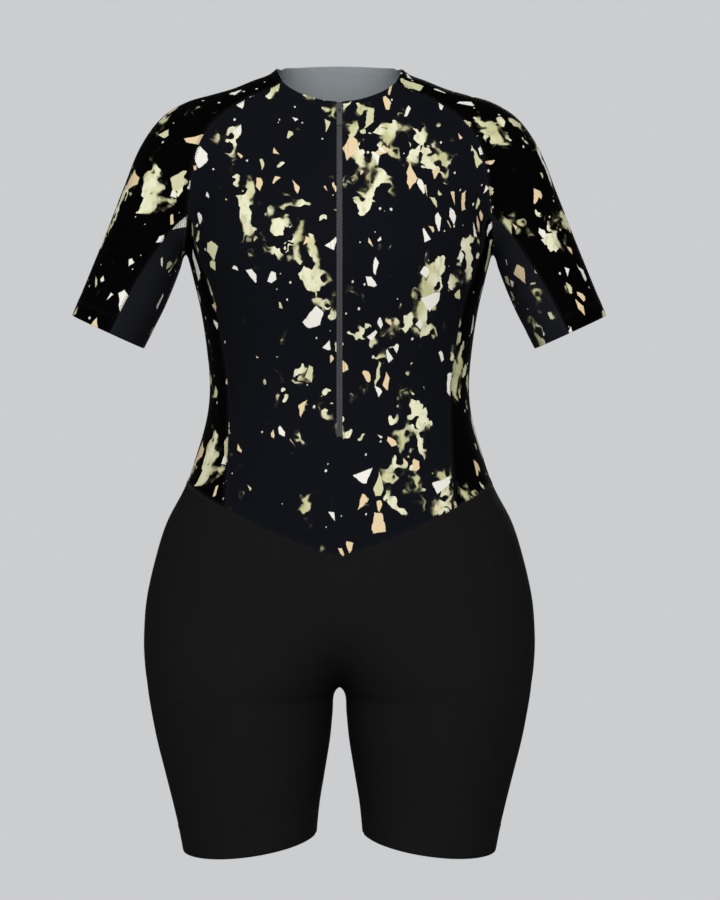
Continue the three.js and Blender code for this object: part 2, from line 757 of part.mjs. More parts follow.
const cloth = (name, color) =>
  new THREE.MeshStandardMaterial({ name, color, roughness: 0.78, metalness: 0 });
const MATERIALS = {
  body: () => cloth("printed_body_knit", 0x101116),
  black: () => cloth("black_knit", 0x050506),
  charcoal: () => cloth("charcoal_mesh_knit", 0x1b1c20),
  shorts: () => cloth("shorts_knit", 0x181818),
  zip: () => cloth("zip_tape_and_coil", 0x464648),
  metal: () =>
    new THREE.MeshStandardMaterial({
      name: "painted_zip_metal",
      color: 0x3a3a3c,
      roughness: 0.5,
      metalness: 0.4,
    }),
};

const suit = new THREE.Group();
suit.name = "triathlon_suit";
function add(name, geometry, material) {
  const mesh = new THREE.Mesh(geometry, material);
  mesh.name = name;
  suit.add(mesh);
  return mesh;
}

// Front: both halves, with a slot for the zip that ends in cloth
const frontGrids = [
  columnsGrid([slotEdge, tapeLine]),
  patch(neckFront, waistFront, tapeLine, joined(armholeFront, sideSeamFront)),
  columnsGrid([middleFront, slotEdge]).slice(ZIP_ROWS),
];
add("front", clothWall(bothHalves(frontGrids)), MATERIALS.body());

// Back
const backGrid = patch(neckBack, waistBack, middleBack, joined(armholeBack, sideSeamBack));
add("back", clothWall(bothHalves([backGrid])), MATERIALS.body());

// Shorts: a front and a back that each run over both legs
const shortsFrontGrid = patch(
  joined(waistFrontAcross, waistSideFront),
  hemFront,
  joined(riseFront, inseam),
  thighLine,
);
const shortsBackGrid = patch(
  joined(waistBack, waistSideBack),
  hemBack,
  joined(riseBack, inseam),
  thighLine,
);
add("shorts_front", clothWall(bothHalves([shortsFrontGrid])), MATERIALS.shorts());
add("shorts_back", clothWall(bothHalves([shortsBackGrid])), MATERIALS.shorts());

// Side panels and sleeves, each in one piece from its front seam to its back seam
const sideGrids = [
  patch(armpitFront, waistSideFront, sideSeamFront, sideLine),
  patch(armpitBack, waistSideBack, sideSeamBack, sideLine),
];
const shoulderAndSleeveTop = joined(shoulderLine, sleeveTopLine);
const sleeveTopGrids = [
  patch(neckSideFront, cuffTopFront, joined(armholeFront, sleeveSeamFront), shoulderAndSleeveTop),
  patch(neckSideBack, cuffTopBack, joined(armholeBack, sleeveSeamBack), shoulderAndSleeveTop),
];
const sleeveUnderGrids = [
  patch(armpitFront, cuffUnderFront, sleeveSeamFront, sleeveUnderLine),
  patch(armpitBack, cuffUnderBack, sleeveSeamBack, sleeveUnderLine),
];
const PAIRED = [
  { name: "side", grids: sideGrids, material: MATERIALS.black },
  { name: "sleeve_top", grids: sleeveTopGrids, material: MATERIALS.black },
  { name: "sleeve_under", grids: sleeveUnderGrids, material: MATERIALS.charcoal },
];
for (const { name, grids, material } of PAIRED) {
  add(`${name}_right`, clothWall(grids), material());
  add(`${name}_left`, clothWall(grids.map(mirrored)), material());
}

// Zip: on each side a coil that fills half the slot, on a tape behind the edge of the front.
// zipFrame gives, part of the way from one row of the front to the next, the place at a
// distance from the middle and a height off the cloth.
function zipFrame(row, part) {
  const lines = [middleFront, slotEdge, tapeLine].map((line) =>
    line[row].clone().lerp(line[row + 1], part),
  );
  const normals = lines.map(outward);
  return (x, height) => {
    const i = x < ZIP_HALF ? 0 : 1;
    const share = (x - lines[i].x) / (lines[i + 1].x - lines[i].x);
    const normal = normals[i].clone().lerp(normals[i + 1], share);
    return lines[i].clone().lerp(lines[i + 1], share).addScaledVector(normal, height);
  };
}
const rowsTo = (row) => Array.from({ length: row }, (_, r) => zipFrame(r, 0));
const lengthBelow = (row) => slotEdge[row].distanceTo(slotEdge[row + 1]);
const tapeDepth = WALL + SEAM_GAP;
const coilEdge = SEAM_GAP / 2;
const coilFrames = [
  ...rowsTo(ZIP_ROWS),
  zipFrame(ZIP_ROWS - 1, 1 - SEAM_GAP / lengthBelow(ZIP_ROWS - 1)),
];
const tapeFrames = [
  ...rowsTo(ZIP_ROWS + 1),
  zipFrame(ZIP_ROWS, TAPE_TAIL / lengthBelow(ZIP_ROWS)),
];
const coil = bar(
  coilFrames.map((at) => [
    at(coilEdge, COIL_PROUD),
    at(coilEdge, -tapeDepth - TAPE_WALL / 2),
    at(ZIP_HALF - coilEdge, -tapeDepth - TAPE_WALL / 2),
    at(ZIP_HALF - coilEdge, COIL_PROUD),
  ]),
);
const tape = bar(
  tapeFrames.map((at) => [
    at(coilEdge, -tapeDepth),
    at(coilEdge, -tapeDepth - TAPE_WALL),
    at(ZIP_HALF, -tapeDepth - TAPE_WALL),
    at(TAPE_EDGE, -tapeDepth - TAPE_WALL),
    at(TAPE_EDGE, -tapeDepth),
    at(ZIP_HALF, -tapeDepth),
  ]),
);
const zipRight = fused(coil, tape);
const zipLeft = zipRight.clone().scale(-1, 1, 1);
zipLeft.setIndex(backwards(Array.from(zipLeft.index.array)));
add("zip_right", zipRight, MATERIALS.zip());
add("zip_left", zipLeft, MATERIALS.zip());

// A flat piece of one outline, with x across, y up along the zip and its thickness forwards.
function flatPiece(corners, rounding, thickness, holes = []) {
  const shape = roundedShape(corners, rounding);
  shape.holes = holes.map((hole) => new THREE.Path(hole.map(([x, y]) => new THREE.Vector2(x, y))));
  const options = { depth: thickness, bevelEnabled: false, curveSegments: 3 };
  return new THREE.ExtrudeGeometry(shape, options).rotateX(Math.PI / 2);
}
function roundedShape(corners, rounding) {
  const shape = new THREE.Shape();
  const points = corners.map(([x, y]) => new THREE.Vector2(x, y));
  points.forEach((corner, i) => {
    const before = points.at(i - 1);
    const after = points[(i + 1) % points.length];
    const from = corner.clone().add(before.clone().sub(corner).setLength(rounding));
    const to = corner.clone().add(after.clone().sub(corner).setLength(rounding));
    if (i === 0) shape.moveTo(from.x, from.y);
    else shape.lineTo(from.x, from.y);
    shape.quadraticCurveTo(corner.x, corner.y, to.x, to.y);
  });
  shape.closePath();
  return shape;
}

// Slider: its own space has x across, z up along the zip, and -y out of the cloth.
const sliderZ = neckHeight(0) - SLIDER.belowNeck;
const sliderFoot = faceAt({ x: 0, z: sliderZ }, FRONT);
const sliderNormal = outward(sliderFoot);
const sliderTilt = Math.atan2(sliderNormal.z, -sliderNormal.y);
const onSlider = new THREE.Group();
onSlider.position.copy(sliderFoot.addScaledVector(sliderNormal, COIL_PROUD + SEAM_GAP));
onSlider.rotation.x = -sliderTilt;
suit.add(onSlider);

const halfLength = SLIDER.length / 2;
const sliderPlate = flatPiece(
  [
    [-SLIDER.footWidth / 2, -halfLength],
    [SLIDER.footWidth / 2, -halfLength],
    [SLIDER.topWidth / 2, SLIDER.shoulderHeight],
    [SLIDER.topWidth / 2, halfLength],
    [-SLIDER.topWidth / 2, halfLength],
    [-SLIDER.topWidth / 2, SLIDER.shoulderHeight],
  ],
  SLIDER.cornerCut,
  SLIDER.plate,
);
const { bridgeTop, bridgeFoot, bridgeProud, bridgeBar, bridgeWidth } = SLIDER;
const { bridgeCorner, bridgeRoot } = SLIDER;
const bridgeShape = new THREE.Shape(
  [
    [bridgeFoot, -bridgeRoot],
    [bridgeFoot + bridgeBar, -bridgeRoot],
    [bridgeFoot + bridgeBar, bridgeProud - bridgeBar],
    [bridgeTop - bridgeBar, bridgeProud - bridgeBar],
    [bridgeTop - bridgeBar, -bridgeRoot],
    [bridgeTop, -bridgeRoot],
    [bridgeTop, bridgeProud - bridgeCorner],
    [bridgeTop - bridgeCorner, bridgeProud],
    [bridgeFoot + bridgeCorner, bridgeProud],
    [bridgeFoot, bridgeProud - bridgeCorner],
  ].map(([z, out]) => new THREE.Vector2(z, out)),
);
const bridge = new THREE.ExtrudeGeometry(bridgeShape, { depth: bridgeWidth, bevelEnabled: false });
bridge.translate(0, 0, -bridgeWidth / 2);
// The outline's first axis goes up the zip, its second out of the cloth, and its width across.
bridge.applyMatrix4(
  new THREE.Matrix4().makeBasis(
    new THREE.Vector3(0, 0, 1),
    new THREE.Vector3(0, -1, 0),
    new THREE.Vector3(1, 0, 0),
  ),
);
bridge.translate(0, -SLIDER.plate, 0);
const slider = new THREE.Mesh(fused(sliderPlate, bridge), MATERIALS.metal());
slider.name = "zip_slider";
onSlider.add(slider);

// Pull tab, hanging from its pin
const PIN_SIDES = 10;
const forkInner = bridgeWidth / 2 + SEAM_GAP;
const pullPlate = flatPiece(
  [
    [-PULL.footWidth / 2, PULL.foot],
    [PULL.footWidth / 2, PULL.foot],
    [PULL.width / 2, PULL.forkEnd],
    [PULL.width / 2, PULL.top],
    [forkInner, PULL.top],
    [forkInner, PULL.forkEnd],
    [-forkInner, PULL.forkEnd],
    [-forkInner, PULL.top],
    [-PULL.width / 2, PULL.top],
    [-PULL.width / 2, PULL.forkEnd],
  ],
  PULL.cornerCut,
  PULL.thickness,
).translate(0, PULL.thickness / 2, 0);
const pinLength = PULL.width - 2 * PULL.pinInset;
const pin = new THREE.CylinderGeometry(SLIDER.pinRadius, SLIDER.pinRadius, pinLength, PIN_SIDES);
pin.rotateZ(Math.PI / 2);
const pull = new THREE.Mesh(fused(pullPlate, pin), MATERIALS.metal());
pull.name = "zip_pull";
pull.position.set(0, -SLIDER.plate - SLIDER.pinProud, SLIDER.pinHeight);
pull.rotation.x = THREE.MathUtils.degToRad(PULL.lean);
onSlider.add(pull);

export default suit;
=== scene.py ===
# Looks of the triathlon suit: fine knit panels, seams, hems, zip and print.
# Shapes are worked out in millimetres, in the frame of the solids, and made in metres.
import math
from functools import partialmethod
from types import SimpleNamespace

import bmesh
import bpy
import numpy as np
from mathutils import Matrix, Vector
from mathutils.kdtree import KDTree


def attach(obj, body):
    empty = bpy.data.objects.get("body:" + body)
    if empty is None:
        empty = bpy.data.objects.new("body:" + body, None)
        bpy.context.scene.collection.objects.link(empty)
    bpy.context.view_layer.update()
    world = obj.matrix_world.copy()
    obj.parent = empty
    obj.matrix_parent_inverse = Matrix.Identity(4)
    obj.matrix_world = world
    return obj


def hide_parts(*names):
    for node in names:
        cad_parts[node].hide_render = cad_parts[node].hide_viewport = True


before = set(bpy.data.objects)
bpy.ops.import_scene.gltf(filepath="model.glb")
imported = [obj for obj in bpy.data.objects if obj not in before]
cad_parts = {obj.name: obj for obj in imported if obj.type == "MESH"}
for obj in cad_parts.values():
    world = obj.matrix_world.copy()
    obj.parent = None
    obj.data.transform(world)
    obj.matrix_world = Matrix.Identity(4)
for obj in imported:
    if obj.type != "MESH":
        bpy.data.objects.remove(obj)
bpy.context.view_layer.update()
MM = 0.001  # metres in a millimetre

# Sizes shared with the solids
ZIP_HALF = 3.0  # half the width of the closed coil
ZIP_END = -381.0  # height where the coil stops
TAPE_EDGE = 9.5  # from the middle to the outer edge of the tape

# Sizes of the cloth as it shows
CLOTH = 1.1  # thickness of a panel
SEAM_DROP = 0.30  # how deep the groove between two panels is
SEAM_RAISE = 0.28  # how far the sewn band beside it stands up
HEM_RAISE = 0.35  # how far a folded hem stands up
NECK_HEM, CUFF_HEM, LEG_HEM = 7.0, 20.0, 28.0  # widths of the folds

# The form, with the rows of the solids' own tables
TRUNK = """
z    half  front back
40   60    50    60
10   61    52    61
-8   63    54    64
-24  74    57    69
-42  95    62    77
-60  114   71    86
-80  129   84    95
-110 142   102   104
-150 152   120   110
-187 158   129   110
-216 152   129   106
-250 144   122   99
-292 137.5 111   91
-332 134.5 105   88
-365 138   106   92
-405 149.5 111   104
-436 160.5 116   117
-472 179   119   131
-512 191.5 119   141
-554 200.5 117   145.5
-590 203   114.5 144
-631 201   111   138
-671 195   105   127
"""
LEG = """
z    outer inner front back
-530 196   -60   117   142
-590 203   -30   114.5 143.5
-620 202   -13   112   139.5
-640 199.5 -1    109.5 135
-650 198.3 6     108   132.5
-670 195   7.7   104.5 127
-698 189.5 10.5  99.5  119
-732 181   16    94    110
-766 172.5 21.5  89    102.5
-797 165.5 24.5  85    96.5
-840 158   27    82    92
"""
SLEEVE = """
topX  topZ   underX underZ depth mid
50    -2     30     -118   52    4
84    -11.5  58     -135   56    5
111   -22    88     -155   59    6
134   -28.5  108    -170   59    6
158   -35.5  127    -182   57    6
183.5 -51    143    -190   55    6
205.5 -80.5  152    -190   53    5
225.5 -129   159    -187   50    4
241   -169   165    -207   48    3
258.5 -212   181.5  -248   46    2
277   -257.5 203.5  -291.5 44    0
285   -277   211    -310   44    0
"""
# How softly forms run into each other at a height, at the shoulder and the crotch
SHOULDER_SOFT = [(10, 14), (-40, 22), (-80, 44), (-130, 40), (-165, 14), (-190, 10), (-230, 4)]
CROTCH_SOFT = [(-545, 60), (-600, 34), (-635, 10), (-650, 3)]
TRUNK_POWER, LEG_POWER, SLEEVE_POWER = 2.25, 2.1, 2.1
LEGS_START, LEGS_APART = -545.0, -641.0
SLEEVES_END = -330.0  # below this height the sleeves no longer shape the form
CUFF_ROW, ELBOW_ROW = 10, 7  # rows of the sleeve's table
CUFF_SEAM_ANGLE = 98.0

# Seam routes on the right half, in the front view
NECK_FRONT = [(0, -42.5), (19, -40), (37, -34), (50, -27), (58, -20)]
NECK_BACK = [(0, 9), (24, 8), (44, 5.5), (56, 3)]
ARMHOLE_LOW = [(125, -58), (141, -80), (149, -105), (152, -130), (155, -156)]
ARMHOLE_FRONT = [(58, -20), (79, -30), (101.5, -40.5), *ARMHOLE_LOW]
ARMHOLE_BACK = [(56, 3), (79, -20), (101.5, -34), *ARMHOLE_LOW]
RISE_FRONT = (-530, -560, -590, -612, -628, -637)  # heights of points on the middle
RISE_BACK = (-440, -480, -520, -560, -590, -612, -628, -637)
SIDE_SEAM = [
    (155, -156), (146, -185), (137.5, -211), (125.5, -247),
    (118.5, -289), (113.5, -330), (112.5, -373), (113.5, -410),
]
SLEEVE_SEAM = [(155, -156), (182, -185), (208.5, -226)]
WAIST_FRONT = [(0, -500.5), (17, -496), (48, -484), (71, -475), (90, -466.5), (115.5, -453.5)]
WAIST_BACK = [(0, -412), (60, -413), (115.5, -418)]

# Points where a seam crosses the silhouette
NECK_SIDE, NECK_SIDE_FRONT, NECK_SIDE_BACK = (63.5, 0, -2), (62, -22, -10), (61.5, 22, 1)
ARMPIT, ARMPIT_FRONT, ARMPIT_BACK = (160, 2, -187), (158, -27, -179), (158, 30, -179)
WAIST_SIDE, WAIST_SIDE_FRONT, WAIST_SIDE_BACK = (157, 6, -428), (138, -60, -441.5), (140, 66, -422)
CROTCH = (0, 0, -641)
HEM_OUTER_Z, HEM_INNER_Z, HEM_DIP, HEM_LEVEL = -812.5, -795.0, 3.0, -805.0
ARMHOLE_END_Z = -150.0


def table(text):
    lines = [line.split() for line in text.strip().splitlines()]
    names, rows = lines[0], np.array(lines[1:], float)
    return {name: rows[:, i] for i, name in enumerate(names)}


def smooth_curve(xs, ys):
    """A cubic through the points, flat outside them, with each slope taken from both neighbours."""
    order = np.argsort(xs)
    xs, ys = np.asarray(xs, float)[order], np.asarray(ys, float)[order]
    before, after = np.r_[0, 0:len(xs) - 1], np.r_[1:len(xs), len(xs) - 1]
    slopes = (ys[after] - ys[before]) / (xs[after] - xs[before])

    def value(at):
        at = np.clip(at, xs[0], xs[-1])
        i = np.clip(np.searchsorted(xs, at) - 1, 0, len(xs) - 2)
        span = xs[i + 1] - xs[i]
        t = (at - xs[i]) / span
        rise = t * t * (3 - 2 * t)
        bend = t * (1 - t) * ((1 - t) * slopes[i] - t * slopes[i + 1])
        return ys[i] * (1 - rise) + ys[i + 1] * rise + span * bend

    return value


def columns(text):
    data = table(text)
    return {key: smooth_curve(data["z"], data[key]) for key in data if key != "z"}


trunk, leg = columns(TRUNK), columns(LEG)
neck_height, waist_height, shoulder_soft, crotch_soft = (
    smooth_curve(*zip(*knots)) for knots in (NECK_FRONT, WAIST_FRONT, SHOULDER_SOFT, CROTCH_SOFT)
)


def lengths(vectors):
    return np.linalg.norm(vectors, axis=-1, keepdims=True)


def unit(vectors):
    return vectors / np.maximum(lengths(vectors), 1e-12)


def soft_min(a, b, soft):
    h = np.maximum(soft - np.abs(a - b), 0) / soft
    return np.minimum(a, b) - h * h * soft / 4


def section_distance(u, v, half_u, half_v, power):
    share = (np.abs(u / half_u) ** power + np.abs(v / half_v) ** power) ** (1 / power)
    share = np.maximum(share, 1e-6)
    return np.hypot(u, v) * (1 - 1 / share)


def curve_at(points, ts):
    """Smooth curves through rows of points, at shares from 0 to 1 of the number of rows."""
    points = np.asarray(points, float)
    p = np.concatenate([2 * points[:1] - points[1:2], points, 2 * points[-1:] - points[-2:-1]])
    at = np.asarray(ts) * (len(points) - 1)
    i = np.clip(at.astype(int), 0, len(points) - 2)
    t = (at - i).reshape(-1, *[1] * (points.ndim - 1))
    a, b, c, d = p[i], p[i + 1], p[i + 2], p[i + 3]
    gap = lambda u, v: np.maximum(np.sqrt(lengths(v - u)), 1e-4)
    ab, bc, cd = gap(a, b), gap(b, c), gap(c, d)
    leave = ((b - a) / ab - (c - a) / (ab + bc) + (c - b) / bc) * bc
    enter = ((c - b) / bc - (d - b) / (bc + cd) + (d - c) / cd) * bc
    s, q = t * t * (3 - 2 * t), t * t * t
    return b * (1 - s) + c * s + leave * (q - 2 * t * t + t) + enter * (q - t * t)


sleeve_rows = table(SLEEVE)
SECTIONS = 121  # of each sleeve
through = lambda *keys: curve_at(
    np.stack([sleeve_rows[key] for key in keys], 1), np.linspace(0, 1, SECTIONS)
)
sleeve_top, sleeve_under = through("topX", "topZ"), through("underX", "underZ")
sleeve_middle = (sleeve_top + sleeve_under) / 2
sleeve_half = np.hypot(*(sleeve_top - sleeve_under).T)[:, None] / 2
sleeve_along = (sleeve_top - sleeve_under) / (2 * sleeve_half)
# Of each section: its middle, the way to its top line, half its width, its depth, and its middle y
sleeve = np.hstack([sleeve_middle, sleeve_along, sleeve_half, through("depth", "mid")])
section_of = lambda row: round(row / (len(sleeve_rows["topX"]) - 1) * (SECTIONS - 1))
FAR = 400.0  # farther than any point of the suit from its sleeves


def sleeve_distance(x, y, z):
    dx = x[:, None] - sleeve_middle[:, 0]
    dz = z[:, None] - sleeve_middle[:, 1]
    short = dz * sleeve_along[:, 0] - dx * sleeve_along[:, 1]
    before = short[:, 0] > 0
    crossing = (short[:, :-1] <= 0) & (short[:, 1:] > 0)
    found = crossing.any(1)
    i, n = np.argmax(crossing, 1), np.arange(len(x))
    t = np.where(found, short[n, i] / np.minimum(short[n, i] - short[n, i + 1], -1e-9), 0)[:, None]

    def distance(mx, mz, ax, az, half, depth, mid):
        across = (x - mx) * ax + (z - mz) * az
        return section_distance(across, y - mid, half, depth, SLEEVE_POWER)

    here = distance(*(sleeve[i] * (1 - t) + sleeve[i + 1] * t).T)
    first = distance(*sleeve[0])
    return np.minimum(np.where(found, here, FAR), np.where(before, first + short[:, 0], FAR))


def depth_of(body, front, z):
    return np.where(front, body["front"](z), body["back"](z))


def form(p):
    """Below zero inside the suit's form and above zero outside, and about the distance."""
    x, y, z = p[:, 0], p[:, 1], p[:, 2]
    t = np.clip((z - LEGS_START) / (LEGS_APART - LEGS_START), 0, 1)
    parted = t * t * (3 - 2 * t)
    low = section_distance(x, y, trunk["half"](z), depth_of(trunk, y < 0, z), TRUNK_POWER)
    legs = parted > 0
    if legs.any():
        lx, ly, lz = x[legs], y[legs], z[legs]
        outer, inner = leg["outer"](lz), leg["inner"](lz)
        middle, half, depth = (outer + inner) / 2, (outer - inner) / 2, depth_of(leg, ly < 0, lz)
        right, left = (
            section_distance(way * lx - middle, ly, half, depth, LEG_POWER) for way in (1, -1)
        )
        both = soft_min(right, left, crotch_soft(lz))
        low[legs] = low[legs] * (1 - parted[legs]) + both * parted[legs]
    high = z > SLEEVES_END
    if high.any():
        arm = sleeve_distance(np.abs(x[high]), y[high], z[high])
        low[high] = soft_min(low[high], arm, shoulder_soft(z[high]))
    return low


PROBE = 0.3  # the step over which a slope is taken
CLOSE = 0.004  # near enough to the surface
LEAST_SLOPE = 0.05
MOST_MOVE = 12.0
DEEPEST = 220.0  # farther out than the form reaches to the front or back
HALVINGS = 24
ROUTE_POINTS = 401
probes = np.eye(3) * PROBE


def outward(p):
    return unit(np.stack([form(p + s) - form(p - s) for s in probes], 1))


def to_surface(points, rounds=9):
    shape = np.shape(points)
    p = np.array(points, float).reshape(-1, 3)
    for _ in range(rounds):
        far = form(p)
        slope = np.stack([(form(p + s) - far) / PROBE for s in probes], 1)
        if np.abs(far).max() < CLOSE:
            break
        move = -far[:, None] * slope / np.maximum((slope**2).sum(1), LEAST_SLOPE)[:, None]
        p += move * np.minimum(1, MOST_MOVE / np.maximum(lengths(move), 1e-9))
    return p.reshape(shape)


def face_at(points, side):
    """Points of the form's front (side -1) or back (1) that lie at points of the front view."""
    xz = np.array(points, float).reshape(-1, 2)
    p = np.stack([xz[:, 0], np.zeros(len(xz)), xz[:, 1]], 1)
    outside = form(p) > 0
    near, far = np.zeros(len(xz)), np.full(len(xz), DEEPEST * side)
    for _ in range(HALVINGS):
        p[:, 1] = (near + far) / 2
        inside = form(p) < 0
        near, far = np.where(inside, p[:, 1], near), np.where(inside, far, p[:, 1])
    p[:, 1] = near
    if outside.any():
        p[outside] = to_surface(p[outside] * [1, 0, 1])
    return p


def joined(*lines):
    return np.concatenate([line if i == 0 else line[1:] for i, line in enumerate(lines)])


def run_of(line):
    """The way along a line, or down each column of a grid, from its first point to all of them."""
    steps = np.linalg.norm(np.diff(line, axis=0), axis=-1)
    return np.concatenate([0 * steps[:1], steps.cumsum(0)])


def resampled(line, steps):
    length = run_of(line)
    at = np.linspace(0, length[-1], steps + 1)
    return np.stack([np.interp(at, length, line[:, k]) for k in range(3)], 1)


def route(points, steps):
    """Evenly spaced surface points along a smooth curve through the given ones."""
    return to_surface(resampled(curve_at(points, np.linspace(0, 1, ROUTE_POINTS)), steps))


FRONT, BACK = -1, 1
evenly = lambda a, b, steps: np.linspace(a, b, steps + 1)
route_on = lambda rows, side, steps, *ends: route([*face_at(rows, side), *ends], steps)

# Steps along each seam, as in the solids
ACROSS, ACROSS_BACK, SHOULDER, ARMHOLE, SLEEVE_DOWN, UNDERARM = 7, 8, 6, 10, 7, 5
SIDE_TO_ZIP_END, SIDE_BELOW_ZIP, RISE = 9, 5, 9
SIDE_ROWS, ZIP_ROWS = SIDE_TO_ZIP_END + SIDE_BELOW_ZIP, ARMHOLE + SIDE_TO_ZIP_END


def cuff_arc(start, end, steps):
    """Points round the cuff, from 0 degrees at the sleeve's top line to 90 at its front."""
    a = np.radians(evenly(start, end, steps))
    mx, mz, ax, az, half, depth, mid = sleeve[section_of(CUFF_ROW)]
    out = half * np.cos(a)
    return to_surface(np.stack([mx + ax * out, mid - depth * np.sin(a), mz + az * out], 1))


def hem_arc(start, end, steps):
    """Points round a leg opening, from 0 degrees at the outside to 90 at its front."""
    outer, inner = leg["outer"](HEM_LEVEL), leg["inner"](HEM_LEVEL)
    a = np.radians(evenly(start, end, steps))
    share, front = (1 + np.cos(a)) / 2, np.maximum(0, np.sin(a))
    depth = depth_of(leg, front > 0, HEM_LEVEL)
    level = HEM_INNER_Z + (HEM_OUTER_Z - HEM_INNER_Z) * share - HEM_DIP * front**2
    points = to_surface(np.stack([inner + (outer - inner) * share, -depth * np.sin(a), level], 1))
    points[:, 2] = level
    return points


def front_line(x):
    """A line down the front at one distance from the middle, from the neck to the waist seam."""
    z = joined(
        evenly(neck_height(x), ARMHOLE_END_Z, ARMHOLE),
        evenly(ARMHOLE_END_Z, ZIP_END, SIDE_TO_ZIP_END),
        evenly(ZIP_END, waist_height(x), SIDE_BELOW_ZIP),
    )
    return face_at(np.stack([np.full(len(z), float(x)), z], 1), FRONT)


on_middle = lambda points: np.array(points) * [0, 1, 1]


def middle_line(heights, side):
    heights = np.asarray(heights, float)
    return on_middle(face_at(np.stack([0 * heights, heights], 1), side))


def seams(side, neck, waist, armhole, neck_side, armpit, waist_side, rise):
    """Seams of the front or back of the right half, from its lines at the neck and waist."""
    s = SimpleNamespace(neck=neck, waist=waist)
    cut, half_turn = -side * CUFF_SEAM_ANGLE, -side * 180
    s.neck_side = route([neck[-1], neck_side, NECK_SIDE], SHOULDER)
    s.armhole = route_on(armhole, side, ARMHOLE)
    s.armpit = route([s.armhole[-1], armpit, ARMPIT], UNDERARM)
    s.cuff_top, s.cuff_under = cuff_arc(cut, 0, SHOULDER), cuff_arc(cut, half_turn, UNDERARM)
    s.sleeve = route_on(SLEEVE_SEAM, side, SLEEVE_DOWN, s.cuff_top[0])
    s.side = route_on(SIDE_SEAM, side, SIDE_ROWS, waist[-1])
    s.waist_side = route([waist[-1], waist_side, WAIST_SIDE], UNDERARM)
    s.rise = on_middle(route([waist[0], *middle_line(rise, side), CROTCH], RISE))
    s.hem = hem_arc(half_turn, 0, len(waist) - 1 + UNDERARM)
    return s


middle_front = on_middle(front_line(0))
slot_edge, tape_line = front_line(ZIP_HALF), front_line(TAPE_EDGE)
neck_front, waist_front = (
    face_at([(x, height(x)) for x in evenly(TAPE_EDGE, knots[-1][0], ACROSS)], FRONT)
    for height, knots in ((neck_height, NECK_FRONT), (waist_height, WAIST_FRONT))
)
neck_back, waist_back = (route_on(line, BACK, ACROSS_BACK) for line in (NECK_BACK, WAIST_BACK))
neck_back[0, 0] = waist_back[0, 0] = 0
middle_back = middle_line(
    joined(
        evenly(NECK_BACK[0][1], ARMHOLE_END_Z, ARMHOLE),
        evenly(ARMHOLE_END_Z, WAIST_BACK[0][1], SIDE_ROWS),
    ),
    BACK,
)
middle_back[0], middle_back[-1] = neck_back[0], waist_back[0]
front = seams(
    FRONT, neck_front, np.array([middle_front[-1], slot_edge[-1], *waist_front]),
    ARMHOLE_FRONT, NECK_SIDE_FRONT, ARMPIT_FRONT, WAIST_SIDE_FRONT, RISE_FRONT,
)
back = seams(
    BACK, neck_back, waist_back,
    ARMHOLE_BACK, NECK_SIDE_BACK, ARMPIT_BACK, WAIST_SIDE_BACK, RISE_BACK,
)

sleeve_points = lambda line, numbers: [
    (sleeve_rows[line + "X"][i], sleeve_rows["mid"][i], sleeve_rows[line + "Z"][i]) for i in numbers
]
below_elbow = range(ELBOW_ROW + 1, CUFF_ROW)
shoulder_line = route([NECK_SIDE, *sleeve_points("top", range(2, ELBOW_ROW + 1))], ARMHOLE)
sleeve_top_line, sleeve_under_line = (
    route([start, *sleeve_points(line, below_elbow), end], SLEEVE_DOWN)
    for line, start, end in (
        ("top", shoulder_line[-1], front.cuff_top[-1]), ("under", ARMPIT, front.cuff_under[-1]),
    )
)
down_side = lambda y, *heights: [(trunk["half"](z), y, z) for z in heights]
side_knots = down_side(ARMPIT[1], -216, -250, -292, -332, -365, -405)
side_line = route([ARMPIT, *side_knots, WAIST_SIDE], SIDE_ROWS)
inseam_levels = (-643, -650, -664, -684, -707, -733, -763)
inseam_knots = to_surface([(leg["inner"](z), 0, z) for z in inseam_levels])
inseam = np.array([front.rise[-1], *inseam_knots, front.hem[0]])
thigh_knots = down_side(0, -455, -490, -530, -579, -631, -680, -730, -780)
thigh_line = route([WAIST_SIDE, *thigh_knots, front.hem[-1]], RISE + len(inseam) - 1)


def patch(top, bottom, left, right, rounds=8):
    """A grid of surface points between four lines: top and bottom across, left and right down."""
    u = evenly(0, 1, len(top) - 1)[None, :, None]
    v = evenly(0, 1, len(left) - 1)[:, None, None]
    grid = top[None] * (1 - v) + bottom[None] * v + left[:, None] * (1 - u) + right[:, None] * u
    across_top, across_bottom = (line[0] * (1 - u) + line[-1] * u for line in (top, bottom))
    grid -= across_top * (1 - v) + across_bottom * v
    grid[:, 0], grid[:, -1], grid[0], grid[-1] = left, right, top, bottom
    for _ in range(rounds):
        around = grid[:-2, 1:-1] + grid[2:, 1:-1] + grid[1:-1, :-2] + grid[1:-1, 2:]
        grid[1:-1, 1:-1] = to_surface(grid[1:-1, 1:-1] / 2 + around / 8)
    return grid


CELL = 4.6  # the size of a face inside a panel
sideways = lambda grid: np.swapaxes(grid, 0, 1)


def refined(grid, breaks=()):
    """More rows between a grid's rows, on curves that may turn at the breaks."""
    ends = [0, *breaks, len(grid) - 1]
    parts = []
    for a, b in zip(ends, ends[1:]):
        per_cell = max(1, round(run_of(grid[a:b + 1])[-1].mean() / (b - a) / CELL))
        part = curve_at(grid[a:b + 1], evenly(0, 1, (b - a) * per_cell))
        parts.append(part if a == 0 else part[1:])
    return np.concatenate(parts)


def from_rim(grid, distances):
    """Rows of points at set distances from a grid's first row, along its columns."""
    length = run_of(grid)
    rows = np.empty((len(distances), grid.shape[1], 3))
    for c in range(grid.shape[1]):
        for k in range(3):
            rows[:, c, k] = np.interp(distances, length[:, c], grid[:, c, k])
    return rows


REPLACED = 0.75  # rows that lie nearer than this share of the last distance are replaced
ROOM = 0.88  # the share of the next row's distance that the new rows may take up


